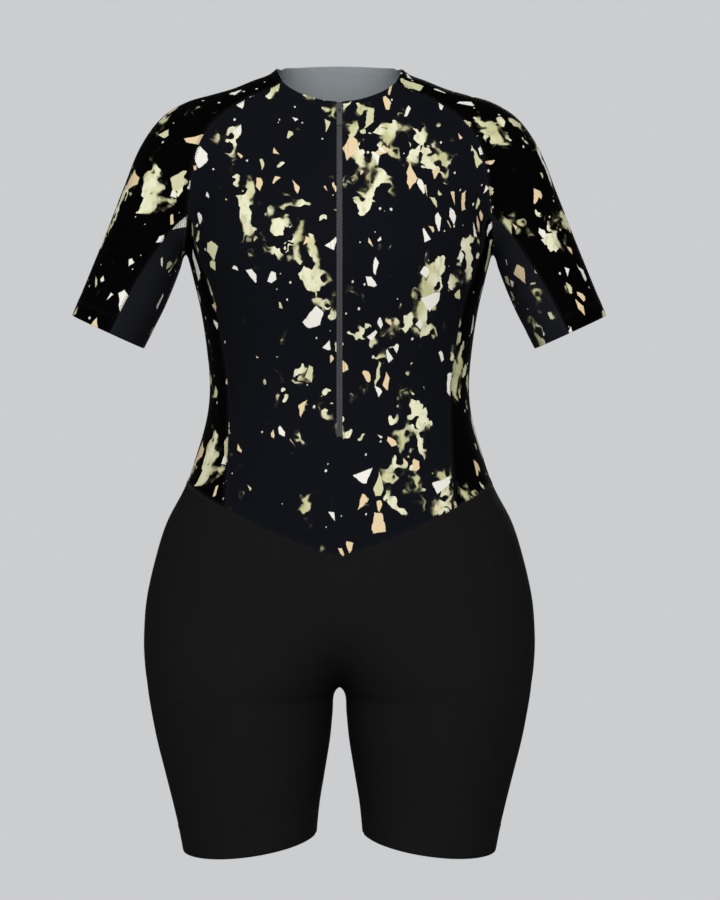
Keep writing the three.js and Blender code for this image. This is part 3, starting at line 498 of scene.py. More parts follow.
def with_rim(grid, distances):
    """Puts rows at set distances from the first one, in place of those that lie that near."""
    length, last = run_of(grid), distances[-1]
    keep = 1
    while keep < len(grid) - 2 and length[keep].min() < last * REPLACED:
        keep += 1
    rows = []
    for c in range(grid.shape[1]):
        at = np.array(distances) * min(1, ROOM * length[keep, c] / last)
        rows.append(from_rim(grid[: keep + 1, c : c + 1], at)[:, 0])
    return np.concatenate([grid[:1], np.stack(rows, 1), grid[keep:]])


# The relief of the cloth at each distance from a seam, from a folded edge and from a hem's edge
SEAM_PROFILE = (
    (0, -SEAM_DROP), (0.4, -0.02), (0.9, SEAM_RAISE), (2.5, SEAM_RAISE - 0.03), (3.2, 0),
)
FOLD_PROFILE = ((0, -0.42), (0.35, -0.12), (1.0, 0))


def hem_profile(width):
    return (
        (0, -0.3), (0.35, 0.12), (1.4, HEM_RAISE), (width - 0.5, HEM_RAISE),
        (width + 0.5, 0), (width + 1.5, 0),
    )


# Distances of the rows of faces beside a rim, which carry its relief
SEAM_ROWS, FOLD_ROWS = ([d for d, _ in knots[1:]] for knots in (SEAM_PROFILE, FOLD_PROFILE))


def hem_rows(width):
    between = list(np.linspace(1.4, width - 0.5, max(2, round(width / CELL)) + 1))
    return (0.35, *between, width + 0.5)


def panel(
    grid, row_breaks=(), column_breaks=(),
    top=SEAM_ROWS, bottom=SEAM_ROWS, left=SEAM_ROWS, right=SEAM_ROWS,
):
    """A finer grid with rows beside its four rims that carry their relief."""
    fine = sideways(refined(sideways(refined(grid, row_breaks)), column_breaks))
    fine = with_rim(with_rim(fine, top)[::-1], bottom)[::-1]
    if left:
        fine = sideways(with_rim(sideways(fine), left))
    return to_surface(sideways(with_rim(sideways(fine)[::-1], right)[::-1]))


def two_sided(half):
    """One grid from the front's half across a shared line to the back's half."""
    return np.concatenate([half(front), half(back)[:, -2::-1]], 1)


# Grids of the right half
neck_rows, cuff_rows, leg_rows = hem_rows(NECK_HEM), hem_rows(CUFF_HEM), hem_rows(LEG_HEM)
front_grid = patch(neck_front, waist_front, tape_line, joined(front.armhole, front.side))
front_grid = np.concatenate([slot_edge[:, None], front_grid], 1)
back_grid = patch(neck_back, waist_back, middle_back, joined(back.armhole, back.side))
front.body = panel(front_grid, (ARMHOLE, ZIP_ROWS), top=neck_rows, left=FOLD_ROWS)
back.body = panel(back_grid, (ARMHOLE,), top=neck_rows, left=None)
for s in (front, back):
    top, inner = joined(s.waist, s.waist_side), joined(s.rise, inseam)
    grid = patch(top, s.hem, inner, thigh_line)
    s.shorts = panel(grid, (RISE,), (len(s.waist) - 1,), bottom=leg_rows)
over_shoulder = joined(shoulder_line, sleeve_top_line)
body_side = panel(two_sided(lambda s: patch(s.armpit, s.waist_side, s.side, side_line)))
sleeve_over = two_sided(
    lambda s: patch(s.neck_side, s.cuff_top, joined(s.armhole, s.sleeve), over_shoulder)
)
sleeve_over = panel(sleeve_over, (ARMHOLE,), top=neck_rows, bottom=cuff_rows)
sleeve_below = two_sided(lambda s: patch(s.armpit, s.cuff_under, s.sleeve, sleeve_under_line))
sleeve_below = panel(sleeve_below, bottom=cuff_rows)

# The first columns lie exactly on the suit's middle as far as the crotch
for grid in (back.body, front.shorts, back.shorts):
    crotch_row = np.argmin(np.linalg.norm(grid[:, 0] - CROTCH, axis=1))
    grid[: crotch_row + 1, 0, 0] = 0

# The strip of the front between the foot of the zip and the waist seam
zip_foot = int(np.argmin(np.abs(front.body[:, 0, 2] - ZIP_END)))
below_zip = front.body[zip_foot:, 0]
strip_middle = on_middle(to_surface(on_middle(below_zip)))
strip = np.stack([strip_middle, to_surface((strip_middle + below_zip) / 2), below_zip], 1)

RIM_STEP = 0.3
CURVE_STEPS = 30  # on a curve, for each point that it runs through
mirror = lambda points: points * np.array([-1, 1, 1])


def dense(*lines):
    """One line of close points along several."""
    curves = [curve_at(line, evenly(0, 1, CURVE_STEPS * len(line))) for line in lines]
    points = np.concatenate(curves)
    return to_surface(resampled(points, round(run_of(points)[-1] / RIM_STEP)))


def near_tree(places):
    tree = KDTree(len(places))
    for i, place in enumerate(places):
        tree.insert(place, i)
    tree.balance()
    return tree


WELD = 500  # points in the same 1/500 of a millimetre are one


def welded(grids):
    """Points and faces of grids that share edges, with the faces turned outwards."""
    points = np.concatenate([g.reshape(-1, 3) for g in grids])
    keys = np.round(points * WELD).astype(np.int64)
    _, first, number = np.unique(keys, axis=0, return_index=True, return_inverse=True)
    number = number.reshape(-1)
    faces, start = [], 0
    for g in grids:
        rows, cols = g.shape[:2]
        n = number[start : start + rows * cols].reshape(rows, cols)
        start += rows * cols
        quads = np.stack([n[:-1, :-1], n[1:, :-1], n[1:, 1:], n[:-1, 1:]], 2).reshape(-1, 4)
        r, c = rows // 2, cols // 2
        turn = np.cross(g[r + 1, c] - g[r, c], g[r, c + 1] - g[r, c]) @ outward(g[r, c][None])[0]
        faces.append(quads if turn > 0 else quads[:, ::-1])
    return points[first], np.concatenate(faces)


def make_object(name, points, faces, materials, face_material=None, sharp=None, cloth=None):
    mesh = bpy.data.meshes.new(name)
    mesh.from_pydata((np.asarray(points) * MM).tolist(), [], [list(map(int, f)) for f in faces])
    mesh.polygons.foreach_set("use_smooth", [True] * len(mesh.polygons))
    for material in materials:
        mesh.materials.append(material)
    if face_material is not None:
        mesh.polygons.foreach_set("material_index", face_material)
    if cloth is not None:
        layer = mesh.attributes.new("cloth_mm", "FLOAT_VECTOR", "POINT")
        layer.data.foreach_set("vector", np.ravel(cloth).astype(np.float32))
    if sharp is not None:
        ends = np.empty(len(mesh.edges) * 2, np.int64)
        mesh.edges.foreach_get("vertices", ends)
        code = lambda pairs: np.sort(pairs, axis=1) @ [len(points), 1]
        marks = np.isin(code(ends.reshape(-1, 2)), code(sharp))
        mesh.attributes.new("sharp_edge", "BOOLEAN", "EDGE").data.foreach_set("value", marks)
    mesh.validate()
    mesh.update()
    obj = bpy.data.objects.new(name, mesh)
    bpy.context.scene.collection.objects.link(obj)
    return obj


ON_SEAM = 0.6  # rim points nearer than this to a seam lie on it
FOLDED = 0.1  # how much thicker the cloth is where it is sewn or folded


def shell(name, grids, materials, seams, folds, hems, cloth_mm):
    """A closed shell of cloth, with its outer face on the form but for the relief at its rims."""
    points, faces = welded(grids)
    edges = np.concatenate([faces[:, [k, (k + 1) % 4]] for k in range(4)])
    size = len(points)
    rim = edges[~np.isin(edges @ [size, 1], edges[:, ::-1] @ [size, 1])]
    on_rim = np.zeros(size, bool)
    on_rim[rim] = True
    normals = outward(points)
    relief = np.zeros(size)
    for lines, knots in ((seams, SEAM_PROFILE), (folds, FOLD_PROFILE), *hems):
        if not lines:
            continue
        tree = near_tree(np.concatenate(lines))
        distance = np.array([tree.find(p)[2] for p in points])
        distance[on_rim & (distance < ON_SEAM)] = 0
        relief += np.interp(distance, *zip(*knots))
    outer = points + normals * relief[:, None]
    inner = points - normals * (CLOTH + FOLDED * (relief > 0))[:, None]
    walls = np.stack([rim[:, 1], rim[:, 0], rim[:, 0] + size, rim[:, 1] + size], 1)
    all_faces = np.concatenate([faces, walls, faces[:, ::-1] + size])
    kinds = np.r_[np.zeros(len(faces) + len(walls), int), np.ones(len(faces), int)]
    return make_object(
        name, np.concatenate([outer, inner]), all_faces, materials, kinds,
        np.concatenate([rim, rim + size]), np.tile(cloth_mm(points), (2, 1)),
    )


# Distances along the cloth: across from the middle of the front or back, and down it
ARC_STEP_X, ARC_STEP_Z = 4.0, 8.0
ARC_X, ARC_Z = np.arange(0, 169, ARC_STEP_X), np.arange(12, -521, -ARC_STEP_Z)
STEEPEST = 9.0  # the most cloth in one step across, where the form turns away at the side


def body_cloth(side, offset):
    xx, zz = np.meshgrid(ARC_X, ARC_Z)
    y = face_at(np.stack([xx.ravel(), zz.ravel()], 1), side)[:, 1].reshape(xx.shape)
    step = np.hypot(np.diff(ARC_X)[None], np.diff(y, axis=1))
    across = np.hstack([np.zeros((len(ARC_Z), 1)), np.minimum(step, STEEPEST).cumsum(1)])
    down = np.r_[0, np.hypot(np.diff(ARC_Z), np.diff(y[:, 0])).cumsum()]

    def value(points):
        z = np.clip((ARC_Z[0] - points[:, 2]) / ARC_STEP_Z, 0, len(ARC_Z) - 1.001)
        x = np.clip(np.abs(points[:, 0]) / ARC_STEP_X, 0, len(ARC_X) - 1.001)
        i, k = z.astype(int), x.astype(int)
        a, b = z - i, x - k
        u = (across[i, k] * (1 - b) + across[i, k + 1] * b) * (1 - a)
        u += (across[i + 1, k] * (1 - b) + across[i + 1, k + 1] * b) * a
        v = down[i] * (1 - a) + down[i + 1] * a
        return np.stack([np.sign(points[:, 0]) * u + offset, -v, 0 * v], 1)

    return value


BACK_PRINT = 700  # how far the print's place on the back lies from that on the front
LEFT_PRINT = 400.0  # how far its place on the left side lies from that on the right


def grid_cloth(grid, middle, turned=False):
    """Cloth distances from the grid's own lines: across from its middle column, and down it."""
    across = sideways(run_of(sideways(grid)))
    across = across - across[:, middle : middle + 1]
    down = np.repeat(run_of(grid)[:, middle : middle + 1], grid.shape[1], 1)
    tree = near_tree(grid.reshape(-1, 3))
    values = np.stack([across, -down, 0 * down], 2).reshape(-1, 3)

    def value(points):
        near = values[[tree.find((abs(p[0]), p[1], p[2]))[1] for p in points]]
        left = points[:, 0] < 0
        near[:, 0] *= np.where(left, -1, 1)
        near[:, 1] += LEFT_PRINT * left * turned
        return near

    return value


def sleeve_cloth():
    """Distances round the underside of a sleeve, and down it, on a plain tube."""
    elbow, cuff = (sleeve_middle[section_of(row)] for row in (ELBOW_ROW, CUFF_ROW))
    down = (cuff - elbow) / np.linalg.norm(cuff - elbow)
    under = np.array([down[1], -down[0]])
    radius, nearest_axis = 48, 12

    def value(points):
        flat = np.stack([np.abs(points[:, 0]), points[:, 2]], 1) - elbow
        away = np.maximum(np.abs(flat @ under), nearest_axis)
        u = np.arctan2(points[:, 1], away) * radius
        v = LEFT_PRINT * (points[:, 0] < 0) - flat @ down
        return np.stack([u, v, 0 * v], 1)

    return value


class Surface:
    """A material with short names for the nodes that it is made of."""

    def __init__(self, name, roughness, specular, metallic=0.0):
        self.material = bpy.data.materials.new(name)
        self.material.use_nodes = True
        self.tree = self.material.node_tree
        self.set("Roughness", roughness)
        self.set("Specular IOR Level", specular)
        self.set("Metallic", metallic)

    def feed(self, node, key, value):
        if isinstance(value, bpy.types.NodeSocket):
            self.tree.links.new(value, node.inputs[key])
        else:
            node.inputs[key].default_value = value

    def set(self, key, value):
        self.feed(self.tree.nodes["Principled BSDF"], key, value)

    def node(self, kind, inputs=None, **settings):
        """Adds a node and gives its outputs."""
        node = self.tree.nodes.new("ShaderNode" + kind)
        for key, value in settings.items():
            setattr(node, key, value)
        for key, value in (inputs or {}).items():
            self.feed(node, key, value)
        return node.outputs

    def math(self, operation, a, b=0.0, c=0.0, clamp=False):
        return self.node("Math", {0: a, 1: b, 2: c}, operation=operation, use_clamp=clamp)[0]

    times = partialmethod(math, "MULTIPLY")
    less = partialmethod(math, "SUBTRACT")
    plus = partialmethod(math, "ADD")
    scaled = partialmethod(math, "MULTIPLY_ADD")
    above = partialmethod(math, "GREATER_THAN")
    below = partialmethod(math, "LESS_THAN")

    def step(self, value, low, high):
        """Rises from 0 to 1 as value goes from low to high, smoothly."""
        inputs = {"Value": value, "From Min": low, "From Max": high}
        return self.node("MapRange", inputs, interpolation_type="SMOOTHSTEP")[0]

    def mix(self, share, a, b):
        return self.node("Mix", {0: share, 6: a, 7: b}, data_type="RGBA")[2]

    def place(self):
        return self.node("TexCoord")["Object"]

    def vector(self, operation, *inputs):
        return self.node("VectorMath", dict(enumerate(inputs)), operation=operation)[0]

    def cloth(self, width=1, length=1, turn=0.0, shift=(0, 0, 0), warp=None):
        """The place on the cloth in widths and lengths, once warped, turned and shifted."""
        source = self.node("Attribute", attribute_name="cloth_mm")["Vector"]
        if warp:
            scale, far = warp
            noise = self.node("TexNoise", {"Vector": source, "Scale": scale, "Detail": 2.0})
            centred = self.vector("SUBTRACT", noise["Color"], (0.5,) * 3)
            source = self.vector("MULTIPLY_ADD", centred, (far,) * 3, source)
        inputs = {"Vector": source, "Rotation": (0, 0, turn), "Location": shift}
        return self.vector("MULTIPLY", self.node("Mapping", inputs)[0], (1 / width, 1 / length, 1))

    def noise(self, vector, scale, detail=2.0, roughness=0.5):
        inputs = {"Vector": vector, "Scale": scale, "Detail": detail, "Roughness": roughness}
        return self.node("TexNoise", inputs)["Fac"]

    def cloud(self, *place, detail=2.0, roughness=0.5):
        return self.noise(self.cloth(*place), 1.0, detail, roughness)

    def cells(self, vector, feature="F1", randomness=0.95):
        inputs = {"Vector": vector, "Scale": 1.0, "Randomness": randomness}
        return self.node("TexVoronoi", inputs, voronoi_dimensions="2D", feature=feature)

    def parts(self, vector):
        return self.node("SeparateXYZ", {"Vector": vector})

    def bump(self, height, distance_mm, strength=1.0, under=None):
        inputs = {"Height": height, "Distance": distance_mm * MM, "Strength": strength}
        return self.node("Bump", inputs | ({"Normal": under} if under else {}))[0]

    def finished(self, colour, normal):
        self.set("Base Color", colour)
        self.set("Normal", normal)
        return self.material

    def knit(self, wale, course, depth):
        """Rows of small loops: ribs down the cloth, each crossed by a V at every course."""
        x, y, _ = self.parts(self.cloth())
        across = self.times(x, 2 * math.pi / wale)
        rib = self.math("ABSOLUTE", self.math("SINE", self.times(across, 0.5)))
        slant = self.times(rib, 1.6)
        along = self.scaled(y, 2 * math.pi / course, slant)
        loop = self.scaled(self.math("SINE", along), 0.5, 0.5)
        height = self.times(rib, self.scaled(loop, 0.5, 0.5))
        grain = self.noise(self.cloth(), 0.35, 4.0, 0.7)
        return height, self.bump(height, depth, 1.0, self.bump(grain, 0.12))


def rgb(r, g, b):
    """A colour on a scale of 0 to 255, as the light that it stands for."""
    shares = (r / 255, g / 255, b / 255)
    return (*(((v + 0.055) / 1.055) ** 2.4 if v > 0.04 else v / 12.92 for v in shares), 1)


def shade_of(colour, share):
    return (*(v * share for v in colour[:3]), 1)


def plain_knit(name, colour, roughness, specular, spread=0.3):
    s = Surface(name, roughness, specular)
    height, normal = s.knit(0.8, 0.64, 0.12)
    dark, light = shade_of(colour, 1 - spread), shade_of(colour, 1 + spread * 0.7)
    uneven, streak = s.cloud(30, 60, detail=3.0), s.cloud(1.6, 90)
    # The tone is partly painted shade, darker in the knit's hollows and lighter on its loop tops,
    # and partly random mottling and streaks.
    shade = s.scaled(height, 0.55, s.times(uneven, 0.35))
    shade = s.scaled(streak, 0.25, shade, clamp=True)
    return s.finished(s.mix(shade, dark, light), normal)


def print_over(s, ground, shift=(0, 0, 0), amount=1.0):
    """Lays a printed pattern over a colour: torn pale patches with haze, shards and specks."""
    move = lambda x, y: (shift[0] + x, shift[1] + y, 0)

    # Torn patches that gather along slanting drifts, with a haze of dull olive round them
    drift = s.cloud(110, 70, 0.8, move(31, 12), detail=1.0)
    torn = s.cloud(24, 50, 0.15, move(3, 50), (0.05, 4.5), detail=1.5, roughness=0.45)
    holes = s.cloud(9, 17, 0.3, move(9, 0), (0.1, 1.6), detail=0.0)
    torn = s.scaled(s.less(holes, 0.5), 0.24, torn)
    level = s.scaled(s.step(drift, 0.48, 0.6), -0.235 * amount, 0.767)
    over = s.less(torn, level)
    wash = s.cloud(24, 40, 0.0, move(70, 8))
    fine = s.cloud(5, 11, 0.1, move(20, 8))
    haze = s.times(s.step(over, -0.06, 0.05), s.step(wash, 0.4, 0.6))
    colour = s.mix(s.times(haze, 0.5), ground, rgb(104, 102, 78))
    pale = s.mix(s.step(wash, 0.4, 0.62), rgb(240, 238, 203), rgb(205, 203, 151))
    pale = s.mix(s.times(s.step(fine, 0.5, 0.75), 0.4), pale, rgb(128, 126, 92))
    crisp = s.step(over, 0.0, 0.012)
    smoky = s.step(over, -0.01, 0.09)
    choice = s.step(wash, 0.42, 0.54)
    share = s.scaled(choice, s.less(smoky, crisp), crisp)
    colour = s.mix(share, colour, pale)

    # Shards: a few cells of a crazed pattern, each drawn in from its edges
    for width, length, turn, at, most, reach in (
        (17, 30, 0.1, move(0, 0), 0.15, 0.2), (9.5, 16, -0.25, move(130, 70), 0.1, 0.22),
    ):
        place = s.cloth(width, length, turn, at, (0.09, 0.3 * width))
        pick = s.parts(s.cells(place)["Color"])
        edge = s.cells(place, "DISTANCE_TO_EDGE")["Distance"]
        drawn_in = s.scaled(pick[1], reach, 0.12)
        shape = s.step(s.less(edge, drawn_in), 0.0, 0.5 / width)
        shape = s.times(shape, s.below(pick[0], most * amount))
        warm = s.mix(s.above(pick[2], 0.42), rgb(238, 213, 170), rgb(246, 243, 232))
        warm = s.mix(s.above(pick[2], 0.85), warm, rgb(216, 214, 170))
        colour = s.mix(shape, colour, warm)

    # Specks
    place = s.cloth(12, 15, 0.2, move(57, 33), (0.2, 2.0))
    cell = s.cells(place, "F1", 0.9)
    pick = s.parts(cell["Color"])
    size = s.scaled(pick[1], 0.07, 0.06)
    shape = s.step(s.less(size, cell["Distance"]), 0.0, 0.05)
    shape = s.times(shape, s.below(pick[0], 0.1 * amount))
    return s.mix(shape, colour, rgb(232, 229, 216))


def printed_knit(name, dark, light, shift=(0, 0, 0), amount=1.0, holes=False):
    s = Surface(name, 0.72, 0.012)
    height, normal = s.knit(0.62, 0.5, 0.05)
    # Painted shade: the knit's hollows take the darker colour and its loop tops the lighter one, as
    # light and shade on the relief.
    colour = print_over(s, s.mix(s.times(height, 0.8), dark, light), shift, amount)
    # Painted shade between the loops: the knit's low parts are darkened towards near-black.
    between = s.times(s.less(1.0, height), 0.14)
    colour = s.mix(between, colour, rgb(12, 12, 14))
    if holes:
        solid = perforated(s)
        # Painted shade: the mesh's holes are coloured near-black for the shaded inside seen through
        # them.
        colour = s.mix(solid, rgb(10, 10, 11), colour)
        normal = s.bump(solid, 0.25, 0.7, normal)
    return s.finished(colour, normal)


def perforated(s):
    """0 in the small holes of a mesh knit, which lie in staggered rows, and 1 between them."""
    x, y, _ = s.parts(s.cloth(1.9, 1.6))
    row = s.math("MODULO", s.math("FLOOR", y), 2.0)
    u = s.math("FRACT", s.scaled(row, 0.5, x))
    du, dv = s.less(u, 0.5), s.less(s.math("FRACT", y), 0.5)
    away = s.math("SQRT", s.plus(s.times(du, du), s.times(dv, dv)))
    return s.step(away, 0.16, 0.34)


def thread(name, colour):
    s = Surface(name, 0.6, 0.25)
    inputs = {"Vector": s.place(), "Scale": 900.0, "Distortion": 1.0}
    twist = s.node("TexWave", inputs, bands_direction="DIAGONAL")["Fac"]
    # Painted shade: the colour darkens in the grooves of the twist, where the bump sinks.
    return s.finished(s.mix(twist, shade_of(colour, 0.7), colour), s.bump(twist, 0.05))


printed = printed_knit("printed_body_knit", rgb(15, 16, 21), rgb(20, 21, 26))
printed_black = printed_knit("black_printed_knit", rgb(1, 1, 1), rgb(3, 3, 3), (243, 87))
printed_charcoal = printed_knit(
    "charcoal_mesh_knit", rgb(26, 27, 31), rgb(33, 34, 39), (90, 300), 0.55, holes=True
)
reverse = plain_knit("grey_reverse_knit", rgb(143, 149, 152), 0.85, 0.03, spread=0.08)
shorts = plain_knit("shorts_knit", rgb(25, 25, 25), 0.8, 0.01)
shorts_reverse = plain_knit("shorts_reverse_knit", rgb(34, 34, 35), 0.85, 0.03)
black_thread = thread("black_thread", rgb(26, 26, 28))
grey_thread = thread("grey_thread", rgb(33, 33, 34))

s = Surface("zip_coil", 0.48, 0.4)
fine = s.noise(s.place(), 900.0)
coil_material = s.finished(s.mix(fine, rgb(74, 74, 76), rgb(96, 96, 98)), s.bump(fine, 0.03))

s = Surface("zip_tape", 0.85, 0.1)
x, _, z = s.parts(s.place())
warp, weft = (
    s.math("SINE", s.times(v, 2 * math.pi / (pitch * MM))) for v, pitch in ((x, 0.55), (z, 0.7))
)
weave, tape_grey = s.scaled(s.times(warp, weft), 0.5, 0.5), rgb(104, 104, 106)
# Painted shade: the colour darkens where the weave sinks, following its bump.
tape_material = s.finished(s.mix(weave, shade_of(tape_grey, 0.75), tape_grey), s.bump(weave, 0.06))

# Grey paint with a fine orange-peel surface and a few thin scratches
s = Surface("painted_zip_metal", 0.4, 0.5, 0.3)
peel = s.noise(s.place(), 2400.0)
drawn_out = s.vector("MULTIPLY", s.place(), (5200, 5200, 520))
scratch = s.times(s.step(s.noise(drawn_out, 1.0), 0.66, 0.7), 0.45)
s.set("Roughness", s.scaled(peel, 0.2, 0.32))
metal = s.finished(s.mix(scratch, rgb(72, 72, 75), rgb(128, 127, 125)), s.bump(peel, 0.015))

# Cloth panels
side_lines, armhole_lines, armpit_lines, sleeve_lines = (
    [dense(getattr(s, name)) for s in (front, back)]
    for name in ("side", "armhole", "armpit", "sleeve")
)
waist_lines = [dense(s.waist, s.waist_side) for s in (front, back)]
leg_seams = [dense(inseam), dense(thigh_line)]
neck_line = dense(
    np.array([slot_edge[0], *neck_front]), front.neck_side, back.neck_side[::-1], neck_back[::-1]
)
cuff_line = dense(front.cuff_top, back.cuff_top, front.cuff_under, back.cuff_under)
leg_line = dense(front.hem, back.hem[::-1])
slot_line = dense(slot_edge[: ZIP_ROWS + 1])
both = lambda lines: [*lines, *map(mirror, lines)]
neck_hem = (both([neck_line]), hem_profile(NECK_HEM))
cuff_hem = ([cuff_line], hem_profile(CUFF_HEM))
leg_hem = (both([leg_line]), hem_profile(LEG_HEM))

HANDS = {"right": lambda points: points, "left": mirror}
pieces = {}
for k, (name, s, strips, folds, cloth) in enumerate((
    ("front", front, both([strip]), both([slot_line]), body_cloth(FRONT, 0)),
    ("back", back, [], [], body_cloth(BACK, BACK_PRINT)),
)):
    body_lines = both([side_lines[k], armhole_lines[k], waist_lines[k]])
    pieces[name] = shell(
        f"cloth_{name}", [*both([s.body]), *strips], [printed, reverse],
        body_lines, folds, [neck_hem], cloth,
    )
for name, s, waist_line in zip(("shorts_front", "shorts_back"), (front, back), waist_lines):
    pieces[name] = shell(
        f"cloth_{name}", both([s.shorts]), [shorts, shorts_reverse],
        both([waist_line, *leg_seams]), [], [leg_hem], grid_cloth(s.shorts, 0),
    )
for kind, grid, skin, seam_lines, hems in (
    ("side", body_side, printed_black, side_lines + armpit_lines + waist_lines, []),
    ("sleeve_top", sleeve_over, printed_black, armhole_lines + sleeve_lines, [neck_hem, cuff_hem]),
    ("sleeve_under", sleeve_below, printed_charcoal, armpit_lines + sleeve_lines, [cuff_hem]),
):
    middle = grid.shape[1] // 2
    for hand, turn in HANDS.items():
        turned = lambda lines: list(map(turn, lines))
        pieces[f"{kind}_{hand}"] = shell(
            f"cloth_{kind}_{hand}", [turn(grid)], [skin, reverse], turned(seam_lines), [],
            [(turned(lines), knots) for lines, knots in hems],
            sleeve_cloth() if grid is sleeve_below else grid_cloth(grid, middle, True),
        )


# Stitching: short tapered threads that lie on the cloth
THREAD, ZIP_THREAD = 0.17, 0.15  # thickness
STITCH = 2.6
ROW_AT = 2.4  # from a seam to the rows of stitches beside it
ZIP_ROWS_AT = (1.9, 5.6)  # from the slot to the rows of stitches beside it


def threads(name, parts, material, radius=THREAD):
    """A mesh of separate threads on both halves, from starts to ends and lifted in the middle."""
    gathered = (np.concatenate([part[k] for part in parts]) for k in range(3))
    starts, ends, normals = (np.concatenate([v, mirror(v)]) for v in gathered)
    run = ends - starts
    side, up = unit(np.cross(normals, run)) * radius, normals * radius
    rings = []
    for share in (0.2, 0.8):
        middle = starts + run * share + up * 0.4
        rings.append([middle + side, middle + up, middle - side, middle - up])
    points = np.stack([starts - up * 0.6, *rings[0], *rings[1], ends - up * 0.6], 1)
    faces = []
    for k in range(4):
        n = (k + 1) % 4
        faces += [(0, 1 + k, 1 + n), (1 + k, 5 + k, 5 + n, 1 + n), (9, 5 + n, 5 + k)]
    every = [tuple(10 * i + v for v in face) for i in range(len(points)) for face in faces]
    return make_object(name, points.reshape(-1, 3), every, [material])


def along(line, first=0):
    """Points at an even pitch along a line, with the form's normals and the sideways there."""
    steps = max(2, round(run_of(line)[-1] / STITCH))
    points = resampled(line, steps * 2)[first::2]
    normals = outward(points)
    return points, normals, unit(np.cross(normals, np.gradient(points, axis=0)))


def zigzag(line, half=2.0, lift=0.3):
    """Threads that cross a seam from side to side and back."""
    a, na, sa = along(line)
    b, nb, sb = along(line, 1)
    left = a + sa * half + na * lift
    right = b - sb * half + nb * lift
    starts = np.concatenate([left[:-1], right])
    ends = np.concatenate([right, left[1:]])
    return starts, ends, np.concatenate([na[:-1], nb])


def row(line, offset=0.0, lift=0.36, gap=0.55):
    """A row of straight stitches beside a line."""
    p, n, side = along(line)
    p = p + side * offset + n * lift
    short = np.diff(p, axis=0) * gap / (2 * STITCH)
    return p[:-1] + short, p[1:] - short, n[:-1]


def seam_threads(name, covered, rows, material, hems=()):
    """Zigzag covers on seams, a row of stitches on each side of some, and rows on hems."""
    beside = [row(line, offset) for line in rows for offset in (-ROW_AT, ROW_AT)]
    on_hems = [row(from_rim(grid, [d])[0]) for grid, distances in hems for d in distances]
    return threads(name, [*map(zigzag, covered), *beside, *on_hems], material)


at_neck = (2.2, NECK_HEM - 1.2)
at_cuff, at_leg = ((width - 4, width - 1.4) for width in (CUFF_HEM, LEG_HEM))
thread_body = seam_threads(
    "thread_body", side_lines + armhole_lines + armpit_lines + sleeve_lines,
    side_lines + armhole_lines + sleeve_lines, black_thread,
    [
        (front.body, at_neck), (back.body, at_neck), (sleeve_over, at_neck),
        (sleeve_over[::-1], at_cuff), (sleeve_below[::-1], at_cuff),
    ],
)
thread_shorts = seam_threads(
    "thread_shorts", leg_seams, leg_seams, black_thread,
    [(s.shorts[::-1], at_leg) for s in (front, back)],
)
thread_waist = seam_threads("thread_waist", waist_lines, waist_lines, grey_thread)

# Zip: woven tape behind the front, and a coil of plastic turns in the slot
COIL_PITCH = 1.4
COIL_WIRE, COIL_SIDES = 0.36, 6
PATH_STEPS = 400
END_GAP = 1.5  # length of the zip beyond its last turn
# Across the zip, and off the cloth: one turn of the coil, and the outline of the tape
COIL_SHAPE = (
    (2.62, -1.5), (2.72, -0.7), (2.55, -0.05), (2.1, 0.22), (1.3, 0.24), (0.6, 0.2), (0.15, 0.02),
    (-0.05, -0.5), (0.1, -1.1), (0.7, -1.5),
)
TAPE_SHAPE = (
    (0.12, -1.25), (1.4, -1.2), (2.8, -1.2), (3.1, -1.3), (6.0, -1.3), (TAPE_EDGE, -1.3),
    (TAPE_EDGE, -2.1), (6.0, -2.1), (3.0, -2.1), (0.12, -2.1),
)
TAPE_ROWS, TAPE_TAIL = 121, (0, -1.3, -8.0)  # the tape runs on behind the cloth below the zip
zip_path, edge_path, far_path = (
    resampled(line[: ZIP_ROWS + 1], PATH_STEPS)
    for line in (on_middle(middle_front), slot_edge, tape_line)
)
zip_length = run_of(zip_path)[-1]
TURNS = round((zip_length - END_GAP) / COIL_PITCH)


def zip_place(share, x, height):
    """A place on the zip: a share of its length from the neck, across it, and off the cloth."""
    share, x, height = np.broadcast_arrays(share, x, height)
    at = np.clip(share * PATH_STEPS, 0, PATH_STEPS).ravel()
    inner, edge, far = (
        np.stack([np.interp(at, np.arange(PATH_STEPS + 1), path[:, k]) for k in range(3)], 1)
        for path in (zip_path, edge_path, far_path)
    )
    flat_x = x.reshape(-1, 1)
    near = inner + (edge - inner) * flat_x / ZIP_HALF
    wide = edge + (far - edge) * (flat_x - ZIP_HALF) / (TAPE_EDGE - ZIP_HALF)
    p = np.where(flat_x < ZIP_HALF, near, wide)
    return (p + outward(p) * height.reshape(-1, 1)).reshape(*share.shape, 3)


def between_rings(first, count, sides):
    """Faces between rings of points that follow one another, from the number of the first point."""
    return [
        (i + k, i + (k + 1) % sides, i + (k + 1) % sides + sides, i + k + sides)
        for i in range(first, first + (count - 1) * sides, sides) for k in range(sides)
    ]


def swept(name, rings, material):
    """A mesh of closed bars, each through its own rings of points: bars x rings x sides."""
    bars, count, sides = rings.shape[:3]
    faces = []
    for base in range(0, bars * count * sides, count * sides):
        faces += between_rings(base, count, sides)
        faces.append(tuple(base + k for k in reversed(range(sides))))
        faces.append(tuple(base + (count - 1) * sides + k for k in range(sides)))
    obj = make_object(name, rings.reshape(-1, 3), faces, [material])
    shape = bmesh.new()
    shape.from_mesh(obj.data)
    bmesh.ops.recalc_face_normals(shape, faces=shape.faces)
    shape.to_mesh(obj.data)
    shape.free()
    return obj


def round_wire(path, radius):
    """Rings of points round each of a set of paths."""
    ahead = unit(np.gradient(path, axis=1))
    side = unit(np.cross(ahead, [0, 0, 1.0]))
    over = np.cross(side, ahead)
    angles = (np.arange(COIL_SIDES) * 2 * math.pi / COIL_SIDES)[:, None]
    ring = np.cos(angles) * side[:, :, None] + np.sin(angles) * over[:, :, None]
    return path[:, :, None] + radius * ring


